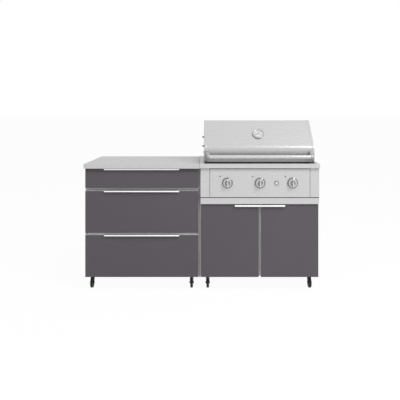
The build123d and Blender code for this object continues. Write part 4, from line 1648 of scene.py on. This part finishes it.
@dataclass
class GrillHood:
    """The hood's finish, its lapped ends, its handle on two webbed brackets, its cheek studs, and the dark seal and
    ledge strip that stand for the shade in the gap under its front.

    Attributes:
        handle_r: radius of the handle's tube.
        tube_bite: how far the tube goes into each bracket.
        bracket_r: radius of a bracket's eye.
        bracket_w: width of a bracket where it meets the hood.
        bracket_taper: how far its outer side comes in towards the tube.
        bracket_inset: how far it lies in from the handle's end.
        edge: softening of the bracket's edges.
        collar: width and height of the collar on the tube's end.
        front_h: height of the hood's upright front.
        slope: run and rise of its sloping face.
        top_run: depth of its flat top.
        back_h: height of its upright back.
        heel_h: height of the back's lower edge.
        bends: radii of the bends from the front over to the back.
        lift: height of its lower edge above the trim.
        lap: width and thickness of the fold at each end.
        seal: drop, width and length back of the dark seal under the hood, painted shade in the gap over the trim.
        ledge: height, reach before and reach behind the hood's front of the dark strip on the trim, painted shade in
            the gap under the hood.
    """

    handle_r: float = 14.0 * MM
    tube_bite: float = 1.0 * MM
    bracket_r: float = 15.0 * MM
    bracket_w: float = 38.0 * MM
    bracket_taper: float = 15.0 * MM
    bracket_inset: float = 4.0 * MM
    edge: float = 2.5 * MM
    collar: Tuple[float, float] = (7.0 * MM, 0.8 * MM)
    front_h: float = 105.0 * MM
    slope: Tuple[float, float] = (165.0 * MM, 186.0 * MM)
    top_run: float = 120.0 * MM
    back_h: float = 138.0 * MM
    heel_h: float = 70.0 * MM
    bends: Tuple[float, ...] = (40.0 * MM, 20.0 * MM, 30.0 * MM, 30.0 * MM)
    lift: float = 7.0 * MM
    lap: Tuple[float, float] = (16.0 * MM, 0.6 * MM)
    seal: Tuple[float, float, float] = (5.6 * MM, 2.4 * MM, 380.0 * MM)
    ledge: Tuple[float, float, float] = (0.8 * MM, 37.5 * MM, 6.0 * MM)

    def handle_axis(self) -> Vector:
        """The middle of the handle's tube."""
        low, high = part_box("hood_handle")
        return Vector(((low.x + high.x) / 2, low.y + self.bracket_r, low.z + self.bracket_r))

    def build_tube(self) -> Workpiece:
        """Turns the handle's tube, with a low collar at each end.

        Returns:
            The tube.
        """
        low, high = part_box("hood_handle")
        axis, r = self.handle_axis(), self.handle_r
        half = (high.x - low.x) / 2 - self.bracket_w + self.tube_bite
        run, rise = self.collar
        profile = [
            (0.0, -half), (r + rise, -half), (r + rise, run - half), (r, run + rise - half),
            (r, half - run - rise), (r + rise, half - run), (r + rise, half), (0.0, half),
        ]
        return Workpiece.turned("hood_handle_tube", profile, axis, RIGHTWARD, steps=64)

    def build_bracket(self, side: Side) -> Workpiece:
        """Shapes an end bracket: an eye on the tube's end with a web that widens to the hood.

        Args:
            side: which end.

        Returns:
            The bracket.
        """
        low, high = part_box("hood_handle")
        axis, r = self.handle_axis(), self.bracket_r
        end = high.x if side is Side.RIGHT else low.x
        inner, outer = end - side.value * self.bracket_w, end - side.value * self.bracket_inset
        lean = math.degrees(math.atan2(high.z - axis.z - r, high.y - axis.y))
        eye = arc((axis.y, axis.z), r, 90.0 + 0.6 * lean, 270.0, 14)
        outline = [(high.y, high.z), *eye, (high.y, low.z)]
        web = Workpiece.along_x(f"hood_handle_bracket_{side.name.lower()}", outline, inner, outer)
        tip = Vector((outer - side.value * self.bracket_taper, low.y, axis.z))
        run = Vector((side.value * self.bracket_taper, high.y - low.y, 0.0))
        web.cut(tip, (side.value * run.y, -side.value * run.x, 0.0))
        return web.soften(self.edge, 3, 50.0)

    def build_handle(self) -> Workpiece:
        """Puts the tube and its brackets together.

        Returns:
            The handle.
        """
        brackets = [self.build_bracket(side) for side in Side]
        handle = self.build_tube().join(brackets)
        handle.dress("hood", HANDLE_STEEL, "stainless", ["hood_handle"])
        low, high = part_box("hood_handle")
        reach = (high.x - low.x) / 2 - self.bracket_w + self.tube_bite + BITE
        # Painted shade: the brackets are painted in the darker copy of the handle's steel.
        return handle.paint(BRACKET_STEEL, lambda mid, normal: abs(mid.x - (low.x + high.x) / 2) > reach)

    def build_studs(self) -> Workpiece:
        """Turns the two studs on the hood's left cheek.

        Returns:
            The studs as one piece.
        """
        low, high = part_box("hood_side_studs")
        r = (high.y - low.y) / 2
        length = high.x - low.x
        profile = [
            (0.0, -MM), (r, -MM), (r, 0.12 * length), (0.7 * r, 0.2 * length), (0.7 * r, 0.45 * length),
            (0.95 * r, 0.55 * length), (r, 0.7 * length), (0.9 * r, 0.9 * length), (0.55 * r, length), (0.0, length),
        ]
        spots = [Vector((high.x, (low.y + high.y) / 2, z)) for z in (low.z + r, high.z - r)]
        studs = Workpiece.turned("hood_cheek_studs", profile, spots[0], (-1.0, 0.0, 0.0), steps=32)
        return studs.repeat(spots).dress("hood", DARK_OXIDE_AND_SHADE, "stud_metal", ["hood_side_studs"])

    def build_laps(self) -> Workpiece:
        """Folds the hood's cheeks over both ends of its wrapper.

        Returns:
            The two folds as one piece.
        """
        low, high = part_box("hood_shell")
        run, rise = self.slope
        width, t = self.lap
        foot = low.z + self.front_h
        corners = [
            (low.y, low.z), (low.y, foot), (low.y + run, foot + rise), (low.y + run + self.top_run, foot + rise),
            (high.y, low.z + self.back_h), (high.y, low.z + self.heel_h),
        ]
        path = rounded(corners, self.bends)
        outline = [*shifted(path, t), *reversed(shifted(path, -t))]
        laps = Workpiece.along_x("hood_laps", outline, low.x, low.x + width).soften(0.4 * t, 2, 60.0)
        ends = [Vector((x, 0.0, 0.0)) for x in (low.x, high.x - width)]
        return laps.repeat(ends).dress("hood", HOOD_STEEL, "stainless")

    def build_seal(self) -> Workpiece:
        """Lays the dark seal under the hood's front and cheeks, as painted shade in the gap over the trim.

        Returns:
            The seal as one piece.
        """
        low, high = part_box("hood_shell")
        drop, width, length = self.seal
        foot, turn = low.z - drop, low.y + width
        beads = []
        # Painted shade: near-black strips fill the gap under the hood's front and cheeks.
        for start, end in (
            ((low.x, low.y), (high.x, turn)), ((low.x, turn), (low.x + width, turn + length)),
            ((high.x - width, turn), (high.x, turn + length)),
        ):
            bead = Workpiece.block("hood_seal", (*start, foot), (*end, low.z + BITE))
            beads.append(bead.round_off(lambda mid, way: abs(mid.z - foot) < HAIR, 0.4 * width, 3))
        return beads[0].join(beads[1:]).dress("hood", TYRE_RUBBER, "caster_rubber")

    def build_ledge(self) -> Workpiece:
        """Lays the dark strip on the trim under the hood's front, as painted shade in the gap; the hood's seal closes
        on it.

        Returns:
            The strip.
        """
        low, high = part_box("hood_shell")
        t, ahead, behind = self.ledge
        # Painted shade: a near-black strip on the trim darkens the gap line under the hood.
        foot = low.z - self.lift
        strip = Workpiece.block(
            "hood_ledge_strip", (low.x + MM, low.y - ahead, foot - BITE), (high.x - MM, low.y + behind, foot + t)
        )
        strip.round_off(lambda mid, way: abs(way.z) > STRAIGHT, 0.3 * ahead, 5)
        return strip.soften(0.3 * t).dress("kitchen", TYRE_RUBBER, "caster_rubber")

    def build(self) -> None:
        """Finishes the hood and builds what is fixed to it."""
        HOOD_STEEL.on("hood_shell")
        self.build_laps()
        self.build_seal()
        self.build_ledge()
        self.build_handle()
        self.build_studs()


@dataclass
class HoodThermometer:
    """The thermometer on the hood's sloping face: case, dial, marks, needle and window.

    Attributes:
        case_r: radius of the case.
        case_t: how far it stands off the hood.
        rim: width of its rim.
        recess: depth of the dial below the rim.
        stem: radius and length of the probe behind it.
        sweep: half of the needle's travel, in degrees from the top.
        numbers: what the long marks read.
        between: short marks between two long ones.
        long_mark: length and width of a long mark.
        short_mark: length and width of a short mark.
        mark_inset: distance of the marks from the rim.
        number_h: height of the numbers.
        number_inset: distance of their middles from the rim.
        needle: length, tail, width and thickness of the needle.
        needle_rise: how far the needle lies over the dial.
        hub_r: radius of the needle's hub.
        pin_r: radius of the pin behind it.
        window_h: height of the window's dome, which ends level with the case.
        window_play: space between the window and the rim.
        print_t: thickness of the print.
    """

    case_r: float = 42.0 * MM
    case_t: float = 12.0 * MM
    rim: float = 8.0 * MM
    recess: float = 5.0 * MM
    stem: Tuple[float, float] = (4.0 * MM, 40.0 * MM)
    sweep: float = 110.0
    numbers: Tuple[int, ...] = (100, 200, 300, 400, 500, 600, 700)
    between: int = 3
    long_mark: Tuple[float, float] = (6.0 * MM, 1.1 * MM)
    short_mark: Tuple[float, float] = (3.5 * MM, 0.6 * MM)
    mark_inset: float = 2.0 * MM
    number_h: float = 6.0 * MM
    number_inset: float = 12.0 * MM
    needle: Tuple[float, float, float, float] = (27.0 * MM, 9.0 * MM, 2.6 * MM, 1.0 * MM)
    needle_rise: float = 0.8 * MM
    hub_r: float = 4.0 * MM
    pin_r: float = 1.5 * MM
    window_h: float = 1.9 * MM
    window_play: float = 0.1 * MM
    print_t: float = 0.12 * MM

    def plane(self, lift: float = 0.0, turn: float = 0.0) -> Matrix:
        """A place on the sloping face under the case.

        Args:
            lift: how far off the face.
            turn: an anticlockwise turn about the case's middle, in degrees.

        Returns:
            The place, with Z off the face and Y up the slope.
        """
        out = -Vector(JOINTS["thermometer_turn"]["axis"]).normalized()
        across = Vector(RIGHTWARD)
        up = out.cross(across)
        turned = Matrix((across, up, out)).transposed().to_4x4()
        spot = Matrix.Translation(joint_place("thermometer_turn"))
        return spot @ turned @ Matrix.Translation((0.0, 0.0, lift)) @ Matrix.Rotation(math.radians(turn), 4, "Z")

    def build_case(self) -> Workpiece:
        """Turns the case with its rim and the dial in it.

        Returns:
            The case.
        """
        r, t, rim = self.case_r, self.case_t, self.rim
        probe_r, probe_l = self.stem
        dial = t - self.recess
        profile = [
            (0.0, -probe_l), (0.6 * probe_r, -probe_l), (probe_r, 0.5 * probe_r - probe_l), (probe_r, 0.0), (r, 0.0),
            (r, 0.62 * t), (r - 0.1 * rim, 0.8 * t), (r - 0.35 * rim, 0.95 * t), (r - 0.6 * rim, t),
            (r - 0.8 * rim, 0.97 * t), (r - rim, 0.88 * t), (r - rim, dial), (0.0, dial),
        ]
        case = Workpiece.turned("thermometer_case", profile, steps=72)
        case.dress("hood", GAUGE_STEEL, "stainless", ["hood_thermometer"])
        case.paint(DIAL_ENAMEL, lambda mid, normal: normal.z > STRAIGHT and abs(mid.z - dial) < HAIR)
        return case.place(self.plane())

    def build_mark(self, angle: float, long: bool) -> Workpiece:
        """Prints one mark of the scale.

        Args:
            angle: where it stands, in degrees clockwise from the top.
            long: whether it is a long mark.

        Returns:
            The mark.
        """
        outer = self.case_r - self.rim - self.mark_inset
        length, width = self.long_mark if long else self.short_mark
        mark = Workpiece.block(
            "thermometer_mark", (-width / 2, outer - length, -self.print_t), (width / 2, outer, self.print_t)
        )
        mark.taper(lambda mid, normal: normal.y < -STRAIGHT, (0.7, 1.0, 1.0))
        return mark.place(self.plane(self.case_t - self.recess, -angle))

    def build_number(self, angle: float, number: int) -> Workpiece:
        """Prints one number of the scale.

        Args:
            angle: where it stands, in degrees clockwise from the top.
            number: what it reads.

        Returns:
            The number.
        """
        bpy.ops.object.select_all(action="DESELECT")
        bpy.ops.object.text_add()
        text = bpy.context.active_object
        text.data.body = str(number)
        text.data.size = self.number_h
        text.data.align_x = "CENTER"
        text.data.align_y = "CENTER"
        text.data.extrude = self.print_t
        bpy.ops.object.convert(target="MESH")
        print_work = Workpiece("thermometer_number")
        reach = self.case_r - self.rim - self.number_inset
        spot = (reach * math.sin(math.radians(angle)), reach * math.cos(math.radians(angle)), 0.0)
        return print_work.place(self.plane(self.case_t - self.recess) @ Matrix.Translation(spot))

    def build_scale(self) -> Workpiece:
        """Prints the dial's marks and numbers.

        Returns:
            The print as one piece.
        """
        gaps = (len(self.numbers) - 1) * (self.between + 1)
        prints = []
        for step in range(gaps + 1):
            angle = self.sweep * (2 * step / gaps - 1)
            index, rest = divmod(step, self.between + 1)
            prints.append(self.build_mark(angle, rest == 0))
            if rest == 0:
                prints.append(self.build_number(angle, self.numbers[index]))
        scale = prints[0].join(prints[1:])
        scale.piece.name = "thermometer_scale"
        return scale.dress("hood", BLACK_PRINT, "stud_metal")

    def build_needle(self) -> Workpiece:
        """Cuts the needle: a tapered hand with a spade tail and a domed hub.

        Returns:
            The needle.
        """
        length, tail, width, t = self.needle
        outline = [
            (-0.15 * width, length), (0.15 * width, length), (0.5 * width, 0.0), (0.9 * width, -0.7 * tail),
            (0.5 * width, -tail), (-0.5 * width, -tail), (-0.9 * width, -0.7 * tail), (-0.5 * width, 0.0),
        ]
        hand = Workpiece.prism("thermometer_hand", [(x, y, 0.0) for x, y in outline], (0.0, 0.0, t))
        r, pin = self.hub_r, self.pin_r
        profile = [
            (0.0, -2.5 * t), (pin, -2.5 * t), (pin, -0.2 * t), (r, -0.2 * t), (r, t), (0.85 * r, 1.5 * t),
            (0.45 * r, 1.9 * t), (0.0, 2.0 * t),
        ]
        hub = Workpiece.turned("thermometer_hub", profile, steps=32)
        hand.soften(0.2 * MM).join([hub])
        hand.place(self.plane(self.case_t - self.recess + self.needle_rise, self.sweep))
        return hand.dress("thermometer_needle", NEEDLE_RED, "needle_paint", ["thermometer_needle"])

    def build_window(self) -> Workpiece:
        """Turns the thin domed window over the dial.

        Returns:
            The window.
        """
        r = self.case_r - self.rim - self.window_play
        base = self.case_t - self.window_h
        profile = [
            (r, base), (r, base + 0.8 * MM), (0.7 * r, base + 1.5 * MM), (0.35 * r, base + 1.8 * MM),
            (0.0, self.case_t), (0.0, base + 0.9 * MM), (0.7 * r, base + 0.6 * MM), (r, base),
        ]
        window = Workpiece.turned("thermometer_window", profile, steps=64)
        return window.place(self.plane()).dress("hood", WINDOW_GLASS, "stainless")

    def build(self) -> None:
        """Builds the thermometer."""
        self.build_case()
        self.build_scale()
        self.build_needle()
        self.build_window()


@dataclass
class SwivelCaster:
    """One swivel caster: wheel, fork and axle nuts, and the bolts of its fixed plate.

    Attributes:
        place: which caster.
        wheel_r: radius of the wheel.
        wheel_w: width of the wheel.
        rim_r: radius inside the tyre.
        hub_r: radius of the hub.
        recess: depth of the dish between them.
        axle_r: radius of the axle.
        fork_t: thickness of a fork leg.
        fork_gap: space between the wheel and a leg.
        eye_r: radius of a leg round the axle.
        crown_r: radius of the fork's crown.
        crown_t: thickness of the crown.
        neck: half of a leg's width under the crown.
        pin_r: radius of the hole for the kingpin.
        nut_r: radius of an axle nut.
        nut_h: height of the nut.
        tip: how far the axle's end stands out of it.
        bolt_r: radius of a plate bolt's head.
        bolt_h: height of its head.
        bolt_inset: its distance from the plate's edges.
        plate_t: thickness of the plate.
        plate_w: width of the plate.
    """

    place: CasterPlace
    wheel_r: float = 37.0 * MM
    wheel_w: float = 18.0 * MM
    rim_r: float = 27.0 * MM
    hub_r: float = 11.0 * MM
    recess: float = 3.0 * MM
    axle_r: float = 4.0 * MM
    fork_t: float = 3.0 * MM
    fork_gap: float = 1.0 * MM
    eye_r: float = 9.0 * MM
    crown_r: float = 17.0 * MM
    crown_t: float = 3.0 * MM
    neck: float = 8.0 * MM
    pin_r: float = 5.05 * MM
    nut_r: float = 6.0 * MM
    nut_h: float = 2.4 * MM
    tip: float = 1.0 * MM
    bolt_r: float = 4.5 * MM
    bolt_h: float = 3.0 * MM
    bolt_inset: float = 8.0 * MM
    plate_t: float = 3.0 * MM
    plate_w: float = 60.0 * MM

    @property
    def axle(self) -> Vector:
        """The middle of the wheel."""
        return joint_place(f"roll_{self.place.value}")

    @property
    def king(self) -> Vector:
        """A point on the upright axis that the fork swivels about."""
        return joint_place(f"swivel_{self.place.value}")

    def build_wheel(self) -> Workpiece:
        """Turns the wheel: a rounded tyre on a dished rim.

        Returns:
            The wheel.
        """
        r, half = self.wheel_r, self.wheel_w / 2
        bore = self.axle_r + 0.05 * MM
        side = [
            (bore, half), (0.85 * self.hub_r, half), (self.hub_r, half - 0.8 * MM), (self.hub_r, half - self.recess),
            (self.rim_r, half - self.recess), (self.rim_r, half), (0.87 * r, half), (0.95 * r, 0.88 * half),
            (0.985 * r, 0.66 * half), (r, 0.4 * half),
        ]
        other = [(radius, -height) for radius, height in reversed(side)]
        profile = [*side, (0.985 * r, 0.08 * half), (0.985 * r, -0.08 * half), *other, side[0]]
        node = f"caster_wheel_{self.place.value}"
        wheel = Workpiece.turned(f"{node}_tyre", profile, self.axle, RIGHTWARD, steps=56)
        wheel.dress(f"wheel_{self.place.value}", TYRE_RUBBER, "caster_rubber", [node])
        axle, reach = self.axle, self.rim_r - 0.5 * MM
        return wheel.paint(HUB_PLASTIC, lambda mid, normal: math.hypot(mid.y - axle.y, mid.z - axle.z) < reach)

    def leg_outline(self, top: float) -> List[Tuple[float, float]]:
        """The outline of a fork leg, seen from the side.

        Args:
            top: the height of the crown.

        Returns:
            Its corners, along Y and Z.
        """
        axle, king = self.axle, self.king
        lean = math.degrees(math.atan2(top - axle.z, king.y - axle.y))
        eye = arc((axle.y, axle.z), self.eye_r, lean + 76.0, lean + 284.0, 16)
        ahead = math.copysign(self.neck, axle.y - king.y)
        return [(king.y + ahead, top), *eye, (king.y - ahead, top)]

    def nut_profile(self) -> List[Tuple[float, float]]:
        """Radius and height of each corner of an axle nut, with the axle's end in it."""
        r, h, tip = self.nut_r, self.nut_h, self.tip
        return [
            (0.0, -BITE), (r, -BITE), (r, h * 2 / 3), (0.8 * r, h), (0.5 * r, h), (0.5 * r, h + tip),
            (0.0, h + 1.2 * tip),
        ]

    def build_fork(self) -> Workpiece:
        """Shapes the fork: a round crown, two legs, the axle and its nuts.

        Returns:
            The fork.
        """
        node = f"caster_fork_{self.place.value}"
        axle, king, top = self.axle, self.king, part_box(node)[1].z
        t, hole, r = self.crown_t, self.pin_r, self.crown_r
        plate = [(hole, -t), (0.94 * r, -t), (r, -0.7 * t), (r, -0.3 * t), (0.94 * r, 0.0), (hole, 0.0), (hole, -t)]
        crown = Workpiece.turned(f"{node}_shaped", plate, (king.x, king.y, top), steps=40)
        inner = self.wheel_w / 2 + self.fork_gap
        pieces = []
        for side in Side:
            start, end = (king.x + side.value * reach for reach in (inner, inner + self.fork_t))
            leg = Workpiece.along_x("caster_leg", self.leg_outline(top - 0.5 * t), start, end)
            spot = (end, axle.y, axle.z)
            nut = Workpiece.turned("caster_nut", self.nut_profile(), spot, (side.value, 0.0, 0.0), steps=6)
            pieces += [leg.soften(0.6 * MM), nut]
        rod = [(0.0, -inner), (self.axle_r, -inner), (self.axle_r, 0.0), (self.axle_r, inner), (0.0, inner)]
        pieces.append(Workpiece.turned("caster_axle", rod, axle, RIGHTWARD, steps=24))
        return crown.join(pieces).dress(f"caster_{self.place.value}", BLACK_COAT, "caster_metal", [node])

    def build_bolts(self) -> Workpiece:
        """Models the four hexagon bolts under the fixed plate.

        Returns:
            The bolts as one piece.
        """
        king, r, h = self.king, self.bolt_r, self.bolt_h
        reach = self.plate_w / 2 - self.bolt_inset
        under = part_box("caster_plates")[1].z - self.plate_t
        foot, washer_r, washer_h = 0.1 * MM - 0.3 * h, 1.35 * r, 0.3 * MM
        profile = [
            (0.0, foot), (washer_r, foot), (washer_r, washer_h), (r, washer_h), (r, 0.8 * h), (0.85 * r, h), (0.0, h),
        ]
        spots = [Vector((king.x + x * reach, king.y + y * reach, under)) for x in (-1, 1) for y in (-1, 1)]
        bolts = Workpiece.turned(f"caster_bolts_{self.place.value}", profile, spots[0], (0.0, 0.0, -1.0), steps=6)
        return bolts.repeat(spots).dress("kitchen", ZINC_STEEL, "runner_steel", smooth=20.0)

    def build(self) -> None:
        """Builds the caster."""
        self.build_wheel()
        self.build_fork()
        self.build_bolts()


@dataclass
class CookingArea:
    """What lies under the hood: firebox, grates, flame tamers and burners."""

    def build(self) -> None:
        """Finishes the cooking area's nodes."""
        BURNER_STEEL.on("grill_firebox", "flame_tamers", "burners_and_manifold")
        GRATE_IRON.on("cooking_grates")


@dataclass
class Studio:
    """A white studio: pale floor, soft light from above, and the camera at the photograph's height.

    Attributes:
        image_px: the image's width and height.
        eye: where the camera stands.
        horizon_px: the row of the image that lies at the eye's height.
        lens: the camera's focal length, in millimetres.
        floor_size: the width of the floor.
        ambient: strength of the light from all round.
        floor_white: how much of the floor reads as plain white to the eye.
        lamps: name, place, width and power of each soft lamp, and whether metal mirrors it.
        aim: the point that the lamps shine at.
    """

    image_px: float = 400.0
    eye: Tuple[float, float, float] = (-0.0127, -3.5775, 1.237)
    horizon_px: float = 114.6
    lens: float = 42.39
    floor_size: float = 600.0
    ambient: float = 0.5
    floor_white: float = 0.95
    lamps: Tuple[Tuple[str, Tuple[float, float, float], float, float, bool], ...] = (
        ("key_lamp", (1.2, -2.0, 4.7), 1.2, 38.0, False),
        ("fill_lamp", (-2.0, -2.4, 4.4), 1.6, 40.0, False),
        ("glint_lamp", (2.4, -2.4, 3.4), 1.1, 85.0, True),
    )
    aim: Tuple[float, float, float] = (0.0, 0.0, 0.7)

    def seen(self, tree: bpy.types.NodeTree) -> Socket:
        """Tells sight lines, mirrored and clear ones too, from light.

        Args:
            tree: the node tree to add to.

        Returns:
            One for a camera, glossy or transmission ray, and nought for the rest.
        """
        path = tree.nodes.new("ShaderNodeLightPath")
        total = path.outputs["Is Camera Ray"]
        for name in ("Is Glossy Ray", "Is Transmission Ray"):
            either = tree.nodes.new("ShaderNodeMath")
            either.operation = "MAXIMUM"
            tree.links.new(total, either.inputs[0])
            tree.links.new(path.outputs[name], either.inputs[1])
            total = either.outputs[0]
        return total

    def mix(
        self, tree: bpy.types.NodeTree, share: Socket, light: bpy.types.Node, sight: bpy.types.Node,
        out: bpy.types.Node,
    ) -> None:
        """Ends a node tree in a mix of two shaders.

        Args:
            tree: the node tree to add to.
            share: how much of the second shader counts.
            light: the shader that gives light.
            sight: the shader that is seen.
            out: the tree's output node.
        """
        mixer = tree.nodes.new("ShaderNodeMixShader")
        for source, target in zip((share, light.outputs[0], sight.outputs[0]), mixer.inputs):
            tree.links.new(source, target)
        tree.links.new(mixer.outputs[0], out.inputs["Surface"])

    def build_world(self) -> None:
        """Lights the studio from all round, and shows it white."""
        world = bpy.data.worlds.new("studio")
        world.use_nodes = True
        bpy.context.scene.world = world
        tree = world.node_tree
        tree.nodes.clear()
        light, white = (tree.nodes.new("ShaderNodeBackground") for _ in range(2))
        for shader, strength in ((light, self.ambient), (white, 1.0)):
            shader.inputs["Color"].default_value = (1.0, 1.0, 1.0, 1.0)
            shader.inputs["Strength"].default_value = strength
        self.mix(tree, self.seen(tree), light, white, tree.nodes.new("ShaderNodeOutputWorld"))

    def build_floor(self) -> None:
        """Lays the pale floor, which keeps a faint shadow."""
        bpy.ops.object.select_all(action="DESELECT")
        bpy.ops.mesh.primitive_plane_add(size=self.floor_size, location=(0.0, 0.0, -0.5 * MM))
        floor = bpy.context.active_object
        floor.name = "studio_floor"
        material = bpy.data.materials.new("studio_floor")
        material.use_nodes = True
        tree = material.node_tree
        shader, out = tree.nodes["Principled BSDF"], tree.nodes["Material Output"]
        shader.inputs["Base Color"].default_value = (0.95, 0.95, 0.95, 1.0)
        shader.inputs["Roughness"].default_value = 0.9
        glow, share = (tree.nodes.new(kind) for kind in ("ShaderNodeEmission", "ShaderNodeMath"))
        glow.inputs["Strength"].default_value = 1.0
        share.operation = "MULTIPLY"
        share.inputs[1].default_value = self.floor_white
        tree.links.new(self.seen(tree), share.inputs[0])
        self.mix(tree, share.outputs[0], shader, glow, out)
        floor.data.materials.append(material)

    def build_lamps(self) -> None:
        """Hangs the soft lamps."""
        for name, spot, width, power, mirrored in self.lamps:
            lamp = bpy.data.lights.new(name, "AREA")
            lamp.shape = "DISK"
            lamp.size = width
            lamp.energy = power
            holder = bpy.data.objects.new(name, lamp)
            holder.location = spot
            holder.visible_glossy = mirrored
            holder.rotation_euler = (Vector(self.aim) - Vector(spot)).to_track_quat("-Z", "Y").to_euler()
            bpy.context.scene.collection.objects.link(holder)

    def build_camera(self) -> None:
        """Sets the camera level, with the frame slid down to where the photograph has its horizon."""
        camera = bpy.data.cameras.new("camera")
        camera.lens = self.lens
        camera.shift_y = self.horizon_px / self.image_px - 0.5
        stand = bpy.data.objects.new("camera", camera)
        stand.location = self.eye
        stand.rotation_euler = (math.pi / 2, 0.0, 0.0)
        bpy.context.scene.collection.objects.link(stand)
        bpy.context.scene.camera = stand

    def build(self) -> None:
        """Builds the studio."""
        self.build_world()
        self.build_floor()
        self.build_lamps()
        self.build_camera()
        bpy.context.scene.view_settings.view_transform = "Standard"


def main() -> None:
    """Builds the studio and then the kitchen, assembly by assembly."""
    logging.basicConfig(level=logging.INFO, format="%(name)s: %(message)s")
    pulls = [EdgePull(f"drawer_pull_{place.value}", f"drawer_{place.value}") for place in DrawerPlace]
    pulls += [FacePull(side) for side in Side]
    casters = [SwivelCaster(place) for place in CasterPlace]
    for assembly in (
        Studio(), CabinetPair(), *pulls, JointSeals(), ControlPanel(), GrillHood(), HoodThermometer(), CookingArea(),
        *casters,
    ):
        LOG.info("building %s", type(assembly).__name__)
        assembly.build()


if __name__ == "__main__":
    main()
